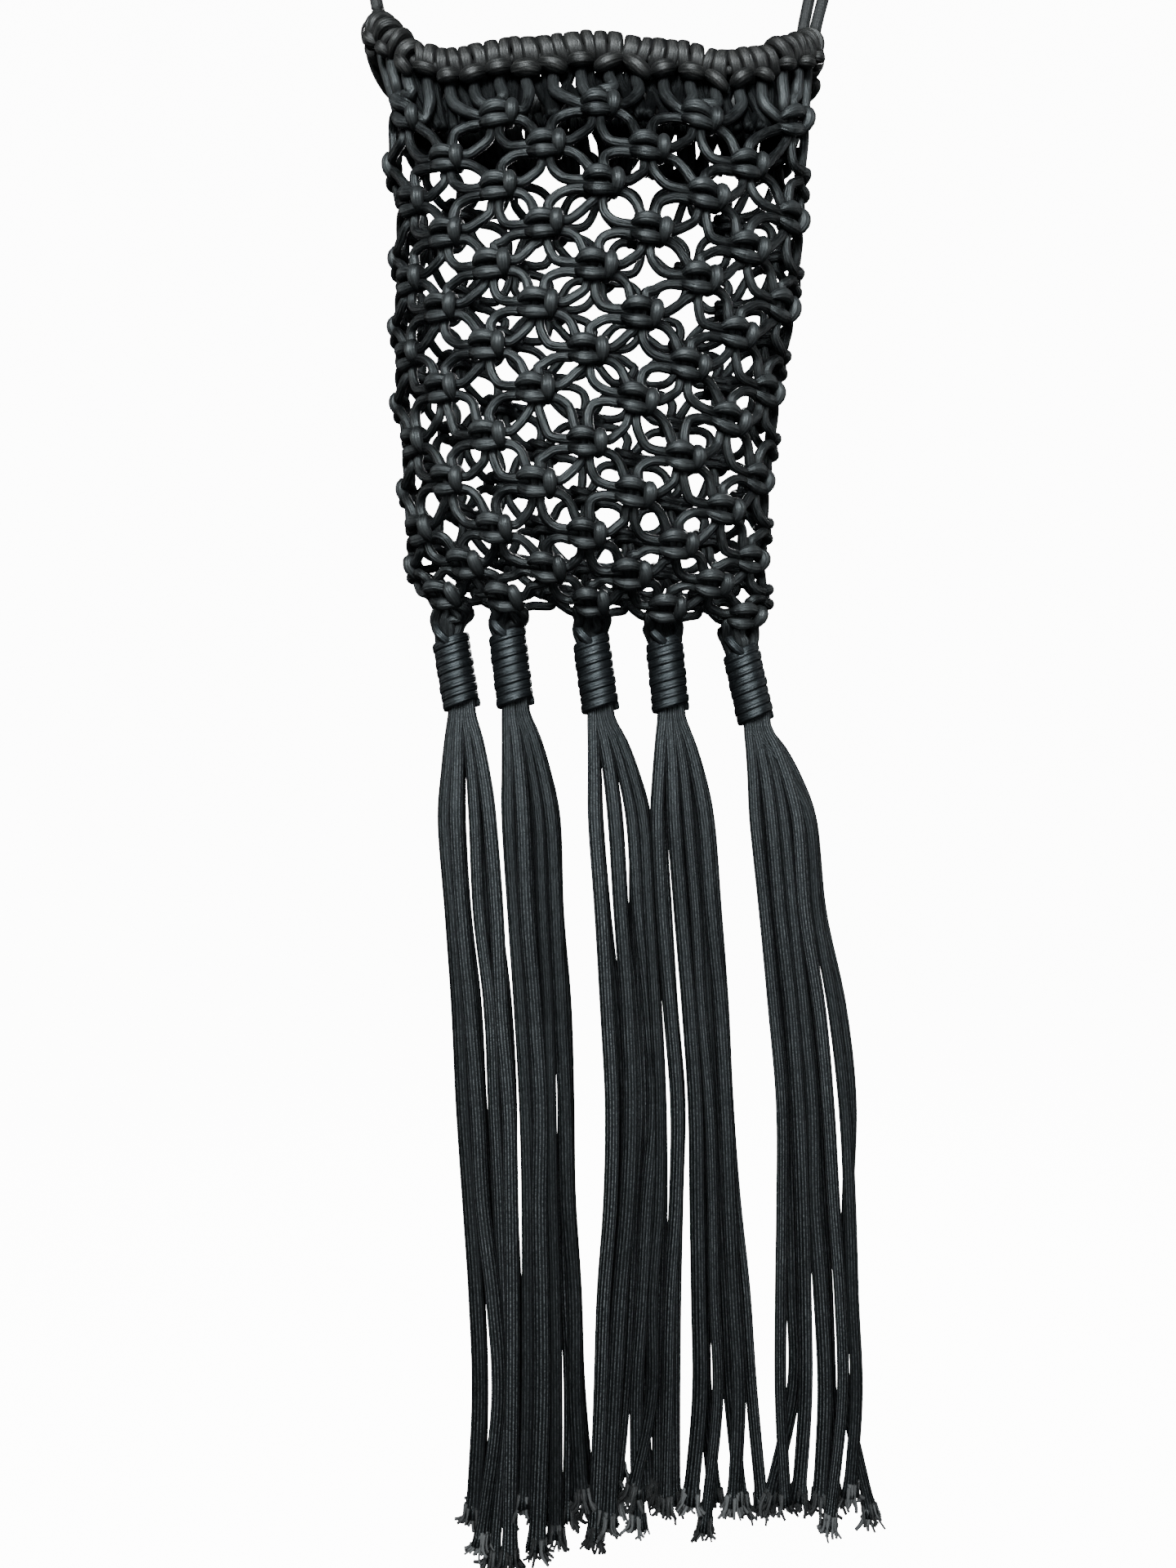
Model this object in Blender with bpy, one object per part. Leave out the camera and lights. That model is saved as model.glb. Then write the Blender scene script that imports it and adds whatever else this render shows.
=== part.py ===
"""A knotted cord shoulder bag with five tassels, hanging by its strap.

Metres, +Z up. The front of the bag looks along -Y and +X is to the right of someone who faces it.
The origin is the top of the strap's arch, where the bag hangs.

Places on the bag's tube are given as a row and a turn. Row 0 is the band under the rim and rows 1 to 13
are the rows of knots. A turn counts knots round the tube from the middle of the front (0) by the right
side (2.5) to the middle of the back (5) and on.
"""

import math
from bisect import bisect_right
from collections import namedtuple

import bmesh
import bpy
from mathutils import Vector

# Cord and clearances
CORD = 0.005
GAP = 0.0003

# Rim: a hoop of core cord under its windings
RIM_HALF_WIDTH = 0.0877
RIM_HALF_DEPTH = 0.0185
RIM_CORE = 0.0054
RIM_WINDING = 0.0036
RIM_BARE = 0.0135
RIM_RIB_DEPTH = 0.0012
RIM_WAVE = 0.007
RIM_SIDES = 8
CORDS_PER_KNOT = 4

# Net of square knots
NET_LENGTH = 0.2149
NET_HALF_WIDTH = 0.0835
NET_HALF_DEPTH = 0.043
KNOT_SWELL = 0.0022
BOW_SWELL = 0.0021
BAND_HEIGHT = 0.0055
BAND_SEAT = 0.0004

# Shares of a knot's pitch and of the row's step
KNOT_WIDTH_SHARE = 0.43
KNOT_TOP_SHARE = 0.095
KNOT_HEIGHT_SHARE = 0.70
HANGING_WIDTH_SHARE = 0.53

# Points that an oval section is measured with
OVAL_STEPS = 360

# Tassels
BINDING_LENGTH = 0.028
BINDING_WALL = 0.0023
BINDING_TURNS = 6
BINDING_RIB_DEPTH = 0.0009
BINDING_SIDES = 8
NECK_LENGTH = 0.0110
HEAD_THICKNESS = 0.0104
HEAD_BELOW = 0.004
HEAD_COLUMNS = 4
HEAD_ROWS = 2
NECK_WIDTH_SHARE = 0.8
NECK_CORE_SHARE = 0.12
FRINGE_LENGTH = 0.345
STRAND_WIDTH = 0.00395
STRAND_DEPTH = 0.0056
STRAND_SPLIT = 0.0007
FRINGE_SPREAD = 0.026
FRINGE_SPREAD_DEPTH = 0.017
FAN_AT_HEAD = 0.30
FAN_FULL_AT = 0.45
ROOT_GONE_AT = 0.25
TIP_SWELL = 1.25

# Split rings
RING_PLAY = 0.0022
RING_WIRE = 0.0012
RING_WIDTH = 0.0024
RING_SEGMENTS = 16
RING_SIDES = 6
RIGHT_RING_TURN = math.radians(30.0)
RIGHT_STRAP_TURN = math.radians(65.0)

# Strap
STRAP_RISE = 0.500
STRAP_CORD = 0.0050
STRAP_BULGE = 0.062
STRAP_BULGE_RISE = 0.56
STRAP_SHOULDER = 0.122
STRAP_BEND_PLAY = 0.0003
STRAP_PAIR_GAP = 0.0012
STRAP_CLOSED_AT = 0.10
STRAP_TURNED_AT = 0.06
STRAP_TURN_KEPT = 0.10
STRAP_TURN_GONE = 0.50
STRAP_BEND_POINTS = 5

RIM_RADIUS = RIM_CORE / 2 + RIM_WINDING
RIM_Z = -STRAP_RISE
BARE_EDGE = RIM_BARE / 35
BINDING_RADIUS = HEAD_THICKNESS / 2 + GAP + BINDING_WALL
RING_INSIDE = RIM_CORE + STRAP_CORD + RING_PLAY
RING_OUTSIDE = RING_INSIDE + 2 * RING_WIRE

# Cross-sections of the bag from the band (row 0) down, one row each
# below: drop under the rim's middle line, as a share of NET_LENGTH
# width, depth: half sizes, as shares of NET_HALF_WIDTH and NET_HALF_DEPTH
# oval: 0 is straight sides with round ends, 1 is an ellipse
# shift: how far the section sits to the right, as a share of NET_HALF_WIDTH
# slope: how much the row drops to the right, as a share of the distance
# wave: how much of the rim's wave the row follows
Section = namedtuple("Section", "below width depth oval shift slope wave")
SECTIONS = [
    Section(0.044, 1.044, 0.44, 0.0, 0.000, 0.00, 1.0),
    Section(0.129, 1.000, 0.68, 0.5, 0.028, 0.00, 0.7),
    Section(0.211, 0.988, 0.85, 1.0, 0.010, 0.02, 0.4),
    Section(0.288, 0.968, 0.95, 1.0, 0.036, 0.04, 0.2),
    Section(0.366, 0.954, 1.00, 1.0, 0.008, 0.05, 0.0),
    Section(0.436, 0.946, 1.00, 1.0, 0.008, 0.07, 0.0),
    Section(0.508, 0.922, 1.00, 1.0, -0.028, 0.09, 0.0),
    Section(0.582, 0.907, 1.00, 1.0, -0.032, 0.10, 0.0),
    Section(0.656, 0.896, 1.00, 1.0, -0.042, 0.11, 0.0),
    Section(0.741, 0.862, 1.00, 1.0, -0.040, 0.11, 0.0),
    Section(0.816, 0.865, 0.95, 1.0, -0.042, 0.11, 0.0),
    Section(0.893, 0.848, 0.83, 1.0, -0.042, 0.09, 0.0),
    Section(0.950, 0.853, 0.60, 1.0, -0.026, 0.08, 0.0),
    Section(1.000, 0.830, 0.34, 1.0, -0.008, 0.07, 0.0),
]
LAST_ROW = len(SECTIONS) - 1

# The wavy top line of the rim's front and back, pulled up at both ends by the strap
# across: share of RIM_HALF_WIDTH, rise: share of RIM_WAVE
Wave = namedtuple("Wave", "across rise")
FRONT_WAVE = [
    Wave(-1.00, 2.40),
    Wave(-0.98, 2.40),
    Wave(-0.95, 1.90),
    Wave(-0.89, 0.80),
    Wave(-0.80, -0.20),
    Wave(-0.66, -0.60),
    Wave(-0.32, 0.00),
    Wave(0.00, 0.35),
    Wave(0.34, -0.15),
    Wave(0.60, -0.72),
    Wave(0.78, -0.40),
    Wave(0.84, 0.15),
    Wave(0.93, 0.60),
    Wave(0.98, 1.45),
    Wave(1.00, 1.45),
]
BACK_WAVE = [
    Wave(-1.00, 2.40),
    Wave(-0.98, 2.40),
    Wave(-0.89, 1.50),
    Wave(-0.60, 0.80),
    Wave(-0.20, 0.20),
    Wave(0.10, 0.10),
    Wave(0.60, 0.00),
    Wave(0.85, 0.40),
    Wave(0.98, 1.45),
    Wave(1.00, 1.45),
]

# How sharply the front's wave gives way to the back's at the sides
WAVE_FADE = 1.5

# Tassels from left to right
# turn: where the tassel's front knot sits round the bottom row, in knots
# tilt: how far the binding's foot swings to the right, as a share of its length
# lean: how far the tips swing to the right, as a share of FRINGE_LENGTH
# bow: how far the strands swing right of that straight line half way down, as a share of FRINGE_LENGTH
# drop: length of the tassel's fringe, as a share of FRINGE_LENGTH
# spread: how wide its strands fan out, as a share of FRINGE_SPREAD
Tassel = namedtuple("Tassel", "turn tilt lean bow drop spread")
TASSELS = [
    Tassel(-2.03, 0.165, 0.036, 0.013, 1.02, 0.66),
    Tassel(-1.20, 0.120, 0.036, 0.019, 1.00, 0.62),
    Tassel(-0.03, 0.140, 0.028, 0.026, 0.98, 0.70),
    Tassel(1.00, 0.100, 0.065, 0.003, 0.97, 0.86),
    Tassel(2.08, 0.220, 0.085, 0.030, 0.96, 1.10),
]

KNOTS_ROUND = 2 * len(TASSELS)
RIM_RIBS = CORDS_PER_KNOT * KNOTS_ROUND

# The eight strands of a tassel: place in its spread, across and in depth (-1 to 1), and length share
Strand = namedtuple("Strand", "across depth length")
STRANDS = [
    Strand(-1.00, -0.55, 0.975),
    Strand(-0.36, -0.80, 1.000),
    Strand(0.30, -0.60, 0.985),
    Strand(0.95, -0.70, 0.965),
    Strand(-0.85, 0.60, 0.990),
    Strand(-0.25, 0.75, 0.960),
    Strand(0.42, 0.55, 1.000),
    Strand(1.00, 0.70, 0.980),
]
STRAND_STEPS = [0.10, 0.36, 0.68, 1.00]

# Where the strap has its points, from a ring (0) to the top of the arch (1)
STRAP_STEPS = [0.0, 0.03, 0.07, 0.12, 0.20, 0.30, 0.40, 0.50, 0.60, 0.68, 0.76, 0.84, 0.92, 1.0]


def clear_scene():
    for thing in list(bpy.data.objects):
        bpy.data.objects.remove(thing, do_unlink=True)


def material(name, colour, roughness, metallic=0.0):
    made = bpy.data.materials.new(name)
    made.use_nodes = True
    shader = made.node_tree.nodes["Principled BSDF"]
    shader.inputs["Base Color"].default_value = (*colour, 1.0)
    shader.inputs["Roughness"].default_value = roughness
    shader.inputs["Metallic"].default_value = metallic
    return made


def finish_object(name, mesh, made_material, sharp_angle=40.0):
    mesh.materials.append(made_material)
    mesh.shade_smooth()
    mesh.set_sharp_from_angle(angle=math.radians(sharp_angle))
    thing = bpy.data.objects.new(name, mesh)
    bpy.context.scene.collection.objects.link(thing)
    return thing


def mesh_from(name, points, faces):
    mesh = bpy.data.meshes.new(name)
    mesh.from_pydata([tuple(p) for p in points], [], faces)
    shell = bmesh.new()
    shell.from_mesh(mesh)
    bmesh.ops.recalc_face_normals(shell, faces=shell.faces)
    bmesh.ops.triangulate(shell, faces=[f for f in shell.faces if len(f.verts) > 4])
    shell.to_mesh(mesh)
    shell.free()
    return mesh


def blend(low, high, share):
    return low + (high - low) * share


def smooth_share(share):
    share = min(1.0, max(0.0, share))
    return share * share * (3.0 - 2.0 * share)


def wave_rise(waves, across):
    """Height of the rim's line over its middle height; across is a share of the half width."""
    across = min(1.0, max(-1.0, across))
    after = min(len(waves) - 1, bisect_right([w.across for w in waves], across))
    low = waves[after - 1]
    high = waves[after]
    share = smooth_share((across - low.across) / (high.across - low.across))
    return RIM_WAVE * blend(low.rise, high.rise, share)


def oval_table(half_width, half_depth, oval):
    """Points and running length round a section, from the middle of the front to the right."""
    points = []
    straight = half_width - half_depth
    perimeter = 4.0 * straight + 2.0 * math.pi * half_depth
    for i in range(OVAL_STEPS + 1):
        angle = 2.0 * math.pi * i / OVAL_STEPS
        ellipse = Vector((half_width * math.sin(angle), -half_depth * math.cos(angle)))
        stadium = stadium_point(half_width, half_depth, perimeter * i / OVAL_STEPS)
        points.append(blend(stadium, ellipse, oval))
    lengths = [0.0]
    for a, b in zip(points, points[1:]):
        lengths.append(lengths[-1] + (b - a).length)
    return points, lengths


def stadium_point(half_width, half_depth, along):
    """Point of an outline with straight front and back and round ends, at a length along it."""
    straight = half_width - half_depth
    arc = math.pi * half_depth
    if along < straight:
        return Vector((along, -half_depth))
    along -= straight
    if along < arc:
        angle = along / half_depth
        return Vector((straight + half_depth * math.sin(angle), -half_depth * math.cos(angle)))
    along -= arc
    if along < 2.0 * straight:
        return Vector((straight - along, half_depth))
    along -= 2.0 * straight
    if along < arc:
        angle = along / half_depth
        return Vector((-straight - half_depth * math.sin(angle), half_depth * math.cos(angle)))
    return Vector((-straight + along - arc, -half_depth))


def section_at(row):
    """The section's sizes at a row, which may lie between two rows of knots."""
    low = min(LAST_ROW - 1, max(0, math.floor(row)))
    share = row - low
    return Section(*(blend(a, b, share) for a, b in zip(SECTIONS[low], SECTIONS[low + 1])))


TABLES = {}


def round_table(row):
    key = round(row, 4)
    if key not in TABLES:
        section = section_at(row)
        half_width = section.width * NET_HALF_WIDTH
        half_depth = section.depth * NET_HALF_DEPTH
        TABLES[key] = oval_table(half_width, half_depth, section.oval)
    return TABLES[key]


def pitch(row):
    """Distance from knot to knot round a row."""
    return round_table(row)[1][-1] / KNOTS_ROUND


def row_step(row):
    """Distance from a row of knots to the next."""
    low = min(LAST_ROW - 1, max(1, math.floor(row)))
    return (SECTIONS[low + 1].below - SECTIONS[low].below) * NET_LENGTH


def net_point(row, turn, out=0.0):
    """A point on the net's middle surface, or out from it."""
    section = section_at(row)
    points, lengths = round_table(row)
    along = (turn / KNOTS_ROUND % 1.0) * lengths[-1]
    after = min(len(points) - 1, bisect_right(lengths, along))
    share = (along - lengths[after - 1]) / (lengths[after] - lengths[after - 1])
    flat = blend(points[after - 1], points[after], share)
    run = (points[after] - points[after - 1]).normalized()
    facing = Vector((run.y, -run.x))
    across = flat.x / (section.width * NET_HALF_WIDTH)
    front = smooth_share(0.5 + WAVE_FADE * math.cos(2.0 * math.pi * turn / KNOTS_ROUND))
    rise = blend(wave_rise(BACK_WAVE, across), wave_rise(FRONT_WAVE, across), front) * section.wave
    drop = section.below * NET_LENGTH + section.slope * flat.x
    flat = flat + facing * out
    return Vector((flat.x + section.shift * NET_HALF_WIDTH, flat.y, RIM_Z - drop + rise))


def knot_turns(row):
    """Where a row's knots sit; rows start half a knot apart, and the bottom row follows the tassels."""
    if row < LAST_ROW:
        return [k + (0.0 if row % 2 else 0.5) for k in range(KNOTS_ROUND)]
    front = [t.turn for t in TASSELS]
    back = [KNOTS_ROUND / 2 - t.turn for t in reversed(TASSELS)]
    middle = len(front) // 2
    return front[middle:] + back + [t + KNOTS_ROUND for t in front[:middle]]


class Sheet:
    """A surface with holes that is given a thickness: each corner has an outer and an inner point."""

    def __init__(self):
        self.pairs = []
        self.faces = []
        self.mounds = []

    def vertex(self, row, turn, lower=0.0):
        down = Vector((0.0, 0.0, lower))
        return self.place(net_point(row, turn, CORD / 2) - down, net_point(row, turn, -CORD / 2) - down)

    def place(self, outer_point, inner_point):
        self.pairs.append((outer_point, inner_point))
        return len(self.pairs) - 1

    def face(self, *corners):
        self.faces.append(corners)

    def mound(self, top, *corners):
        """A face whose outer side rises to a point over its middle."""
        self.faces.append(corners)
        self.mounds.append((top, corners))

    def solid(self):
        count = len(self.pairs)
        points = [p[0] for p in self.pairs] + [p[1] for p in self.pairs]
        tops = {corners: top for top, corners in self.mounds}
        faces = [f for f in self.faces if f not in tops]
        for corners, top in tops.items():
            faces += [(len(points), a, b) for a, b in zip(corners, corners[1:] + corners[:1])]
            points.append(top)
        faces += [tuple(count + i for i in reversed(f)) for f in self.faces]
        edges = {(f[i], f[(i + 1) % len(f)]) for f in self.faces for i in range(len(f))}
        for a, b in sorted(edges):
            if (b, a) not in edges:
                faces.append((b, a, count + a, count + b))
        return points, faces


def add_knot(sheet, row, turn):
    """One knot: six corners round a raised middle. Returns its corners by name."""
    half_turn = KNOT_WIDTH_SHARE / 2
    top_turn = KNOT_TOP_SHARE
    up = min(row_step(row - 1), row_step(row)) * KNOT_HEIGHT_SHARE / 2
    corners = {
        "left": sheet.vertex(row, turn - half_turn),
        "right": sheet.vertex(row, turn + half_turn),
        "upper_left": sheet.vertex(row, turn - top_turn, lower=-up),
        "upper_right": sheet.vertex(row, turn + top_turn, lower=-up),
        "lower_left": sheet.vertex(row, turn - top_turn, lower=up),
        "lower_right": sheet.vertex(row, turn + top_turn, lower=up),
    }
    order = ["left", "lower_left", "lower_right", "right", "upper_right", "upper_left"]
    top = net_point(row, turn, CORD / 2 + KNOT_SWELL)
    sheet.mound(top, *(corners[name] for name in order))
    return corners


def add_bow(sheet, upper, lower, side):
    """The doubled cord between two knots, which swells half way; side 1 runs down to the right."""
    away = "right" if side > 0 else "left"
    back = "left" if side > 0 else "right"
    top_out = upper[away]
    top_in = upper["lower_" + away]
    low_out = lower["upper_" + back]
    low_in = lower[back]
    ends_out = (sheet.pairs[top_out][0] + sheet.pairs[low_out][0]) / 2
    ends_in = (sheet.pairs[top_in][0] + sheet.pairs[low_in][0]) / 2
    widen = (ends_out - ends_in).normalized() * BOW_SWELL
    back_out = (sheet.pairs[top_out][1] + sheet.pairs[low_out][1]) / 2
    back_in = (sheet.pairs[top_in][1] + sheet.pairs[low_in][1]) / 2
    out_vertex = sheet.place(ends_out + widen, back_out + widen)
    in_vertex = sheet.place(ends_in - widen, back_in - widen)
    quads = [(top_out, top_in, in_vertex, out_vertex), (out_vertex, in_vertex, low_in, low_out)]
    for quad in quads:
        sheet.face(*(quad if side > 0 else quad[::-1]))


def add_band(sheet, knots):
    """The band of cord bars under the rim, and the cords from it down to the first row of knots."""
    top = []
    bottom = []
    half_hang = HANGING_WIDTH_SHARE / 2
    for turn in knot_turns(1):
        for offset in (-half_hang, half_hang):
            near = [turn + offset + step * half_hang for step in (-0.8, -0.4, 0.0, 0.4, 0.8)]
            seat = min(rim_underside(place) for place in near) - BAND_SEAT
            lower = net_point(0, turn + offset).z - seat
            top.append(sheet.vertex(0, turn + offset, lower=lower))
            bottom.append(sheet.vertex(0, turn + offset, lower=lower + BAND_HEIGHT))
    count = len(top)
    for i in range(count):
        j = (i + 1) % count
        sheet.face(top[i], bottom[i], bottom[j], top[j])
    for k, knot in enumerate(knots):
        left = bottom[2 * k]
        right = bottom[2 * k + 1]
        sheet.face(left, knot["left"], knot["upper_left"], knot["upper_right"], knot["right"], right)


def tassel_point(tassel):
    """Middle of a tassel's neck top, between its front knot and its back knot."""
    front = net_point(LAST_ROW, tassel.turn)
    return Vector((front.x, 0.0, front.z))


def binding_top(tassel):
    return tassel_point(tassel) - Vector((0.0, 0.0, NECK_LENGTH))


def below_top(tassel, drop):
    """How far the leaning binding's middle line has moved at a drop below its top."""
    return Vector((tassel.tilt * drop, 0.0, -drop))


def add_neck(sheet, knot, tassel, side):
    """The cords from a bottom knot down to the top of the tassel's binding; side is -1 in front."""
    seat = binding_top(tassel)
    half = HEAD_THICKNESS / 2
    across = Vector((side * half * NECK_WIDTH_SHARE, 0.0, 0.0))
    outer = seat + Vector((0.0, side * half, GAP))
    inner = seat + Vector((0.0, side * (GAP / 2 + half * NECK_CORE_SHARE), GAP))
    left = sheet.place(outer + across, inner + across)
    right = sheet.place(outer - across, inner - across)
    sheet.face(knot["left"], left, knot["lower_left"])
    sheet.face(knot["lower_left"], left, right, knot["lower_right"])
    sheet.face(knot["lower_right"], right, knot["right"])


def make_net(made_material):
    sheet = Sheet()
    rows = [[add_knot(sheet, row, turn) for turn in knot_turns(row)] for row in range(1, LAST_ROW + 1)]
    add_band(sheet, rows[0])
    for number, (upper, lower) in enumerate(zip(rows, rows[1:]), start=1):
        for k in range(KNOTS_ROUND):
            right = k if number % 2 else (k + 1) % KNOTS_ROUND
            left = (k - 1) % KNOTS_ROUND if number % 2 else k
            add_bow(sheet, upper[k], lower[right], 1)
            add_bow(sheet, upper[k], lower[left], -1)
    middle = len(TASSELS) // 2
    front = TASSELS[middle:] + TASSELS[::-1] + TASSELS[:middle]
    for place, (knot, tassel) in enumerate(zip(rows[-1], front)):
        behind = len(TASSELS) - middle <= place < KNOTS_ROUND - middle
        add_neck(sheet, knot, tassel, 1.0 if behind else -1.0)
    points, faces = sheet.solid()
    return finish_object("net", mesh_from("net", points, faces), made_material)


def ring_faces(count, sides):
    """Quads between rings of points that follow each other and close up."""
    faces = []
    for i in range(count):
        j = (i + 1) % count
        for s in range(sides):
            t = (s + 1) % sides
            faces.append((i * sides + s, i * sides + t, j * sides + t, j * sides + s))
    return faces


def rim_line(turn):
    """Middle line of the rim, above the band's own line."""
    place = net_point(0, turn)
    along = net_point(0, turn + 0.05) - net_point(0, turn - 0.05)
    share = RIM_HALF_WIDTH / (SECTIONS[0].width * NET_HALF_WIDTH)
    place.x *= share
    place.y *= RIM_HALF_DEPTH / (SECTIONS[0].depth * NET_HALF_DEPTH)
    place.z += SECTIONS[0].below * NET_LENGTH
    return place, along.normalized()


def rim_underside(turn):
    """Height of the rim's lowest line, which drops further under a sloping stretch."""
    place, along = rim_line(turn)
    return place.z - RIM_RADIUS / math.sqrt(1.0 - along.z**2)


def make_rim(made_material):
    """A closed hoop with a rib for each pair of windings, bare down to its core where the rings hook in."""
    step = KNOTS_ROUND / RIM_RIBS
    bare = RIM_BARE / 2 / pitch(0)
    edge_turn = BARE_EDGE / pitch(0)
    ends = (RIM_RIBS // 4, RIM_RIBS - RIM_RIBS // 4)
    low = RIM_RADIUS - RIM_RIB_DEPTH
    stations = []
    for rib in range(RIM_RIBS):
        turn = rib * step
        if rib in ends:
            stations.append((turn - bare + edge_turn, RIM_CORE / 2))
            stations.append((turn + bare - edge_turn, RIM_CORE / 2))
            stations.append((turn + bare, low))
        else:
            stations.append((turn, RIM_RADIUS))
            edge = step - bare if rib + 1 in ends else step / 2
            stations.append((turn + edge, low))
    points = []
    for turn, radius in stations:
        place, along = rim_line(turn)
        facing = Vector((along.y, -along.x, 0.0)).normalized()
        up = facing.cross(along) * -1.0
        for side in range(RIM_SIDES):
            angle = 2.0 * math.pi * (side + 0.5) / RIM_SIDES
            points.append(place + (facing * math.cos(angle) + up * math.sin(angle)) * radius)
    faces = ring_faces(len(stations), RIM_SIDES)
    return finish_object("rim", mesh_from("rim", points, faces), made_material)


def ring_centre(side):
    """Middle of a split ring, which hangs round the rim's bare core; side is -1 at the left."""
    core = rim_line(KNOTS_ROUND / 4 * side)[0]
    return core + Vector((0.0, 0.0, (RING_INSIDE - RIM_CORE) / 2 - GAP))


def make_ring(name, side, turn, made_material):
    """A split ring of two turns of wire, as one band that stands up in the plane of the rim's end."""
    centre = ring_centre(side)
    flat = Vector((math.cos(turn), math.sin(turn), 0.0))
    axle = Vector((-math.sin(turn), math.cos(turn), 0.0))
    middle = (RING_OUTSIDE - RING_WIRE) / 2
    points = []
    for i in range(RING_SEGMENTS):
        angle = 2.0 * math.pi * (i + 0.5) / RING_SEGMENTS
        outward = flat * math.cos(angle) + Vector((0.0, 0.0, math.sin(angle)))
        for s in range(RING_SIDES):
            around = 2.0 * math.pi * s / RING_SIDES
            radial = math.cos(around) * RING_WIRE / 2
            across = math.sin(around) * RING_WIDTH / 2
            points.append(centre + outward * (middle + radial) + axle * across)
    faces = ring_faces(RING_SEGMENTS, RING_SIDES)
    return finish_object(name, mesh_from(name, points, faces), made_material)


def strap_side(side, share):
    """Middle line of one half of the doubled strap, from a ring (0) to the top of the arch (1)."""
    start = ring_centre(side)
    foot = Vector((start.x, 0.0, start.z + RING_OUTSIDE / 2))
    rise = -foot.z
    lean = foot + Vector((side * STRAP_BULGE, 0.0, rise * STRAP_BULGE_RISE))
    shoulder = Vector((side * STRAP_SHOULDER, 0.0, -STRAP_CORD / 2))
    top = Vector((0.0, 0.0, -STRAP_CORD / 2))
    keep = 1.0 - share
    return (
        foot * keep**3 + lean * 3.0 * keep**2 * share + shoulder * 3.0 * keep * share**2 + top * share**3
    )


def right_twist(share):
    """How far the pair of cords is turned from front and back to side by side, over the right ring."""
    rising = blend(RIGHT_RING_TURN, RIGHT_STRAP_TURN, smooth_share(share / STRAP_TURNED_AT))
    going = (share - STRAP_TURN_KEPT) / (STRAP_TURN_GONE - STRAP_TURN_KEPT)
    return rising * (1.0 - smooth_share(going))


def strap_points():
    """Points of the endless strap: up the left, over and down to the right ring, round it and back."""
    bend = RING_WIDTH / 2 + GAP + STRAP_CORD / 2 + STRAP_BEND_PLAY
    loose = (STRAP_CORD + STRAP_PAIR_GAP) / 2
    line = [(-1.0, share) for share in STRAP_STEPS]
    line += [(1.0, share) for share in reversed(STRAP_STEPS[:-1])]
    runs = {-1: [], 1: []}
    for side, share in line:
        place = strap_side(side, share)
        spacing = blend(bend, loose, smooth_share(share / STRAP_CLOSED_AT))
        twist = right_twist(share) if side > 0 else 0.0
        apart = Vector((-math.sin(twist), math.cos(twist), 0.0))
        for run in runs:
            runs[run].append(place + apart * spacing * run)
    points = list(runs[-1])
    points += strap_bend(1.0, RIGHT_RING_TURN, bend, 1.0)
    points += reversed(runs[1])
    points += strap_bend(-1.0, 0.0, bend, -1.0)
    return points


def strap_bend(side, turn, bend, way):
    """The half circle of strap that passes under a ring's top wire."""
    foot = strap_side(side, 0.0)
    low = ring_centre(side).z + RING_INSIDE / 2 - GAP - STRAP_CORD / 2
    apart = Vector((-math.sin(turn), math.cos(turn), 0.0))
    centre = Vector((foot.x, foot.y, low + bend))
    points = []
    for i in range(1, STRAP_BEND_POINTS + 1):
        angle = math.pi * i / (STRAP_BEND_POINTS + 1)
        across = -math.cos(angle) * bend * way
        points.append(centre + apart * across - Vector((0.0, 0.0, math.sin(angle) * bend)))
    return points


def make_strap(made_material):
    curve = bpy.data.curves.new("strap", "CURVE")
    curve.dimensions = "3D"
    curve.bevel_depth = STRAP_CORD / 2
    curve.bevel_resolution = 2
    curve.use_fill_caps = True
    places = strap_points()
    spline = curve.splines.new("POLY")
    spline.points.add(len(places) - 1)
    for point, place in zip(spline.points, places):
        point.co = (*place, 1.0)
    spline.use_cyclic_u = True
    curve.materials.append(made_material)
    thing = bpy.data.objects.new("strap", curve)
    bpy.context.scene.collection.objects.link(thing)
    return thing


def make_binding(name, tassel, made_material):
    """The wound cord round a tassel's head: a sleeve with a rib for each turn."""
    top = binding_top(tassel)
    hole = (HEAD_THICKNESS / 2 + GAP) / math.cos(math.pi / BINDING_SIDES)
    profile = []
    for i in range(2 * BINDING_TURNS + 1):
        radius = BINDING_RADIUS if i % 2 else BINDING_RADIUS - BINDING_RIB_DEPTH
        profile.append((radius, BINDING_LENGTH * i / (2 * BINDING_TURNS)))
    profile += [(hole, BINDING_LENGTH), (hole, 0.0)]
    points = []
    for radius, below in profile:
        for side in range(BINDING_SIDES):
            angle = 2.0 * math.pi * side / BINDING_SIDES
            across = Vector((radius * math.cos(angle), radius * math.sin(angle), 0.0))
            points.append(top + below_top(tassel, below) + across)
    faces = ring_faces(len(profile), BINDING_SIDES)
    return finish_object(name, mesh_from(name, points, faces), made_material)


def head_outline():
    """Grid places round the edge of the strands' block, in order round it."""
    edge = [(c, 0) for c in range(HEAD_COLUMNS)]
    edge += [(HEAD_COLUMNS, r) for r in range(HEAD_ROWS)]
    edge += [(c, HEAD_ROWS) for c in range(HEAD_COLUMNS, 0, -1)]
    edge += [(0, r) for r in range(HEAD_ROWS, 0, -1)]
    return edge


def head_place(column, row):
    """Place of a grid corner in the strands' block, seen from above."""
    across = (column - HEAD_COLUMNS / 2) * (STRAND_WIDTH + STRAND_SPLIT)
    return Vector((across, (row - HEAD_ROWS / 2) * (STRAND_DEPTH + STRAND_SPLIT), 0.0))


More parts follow.
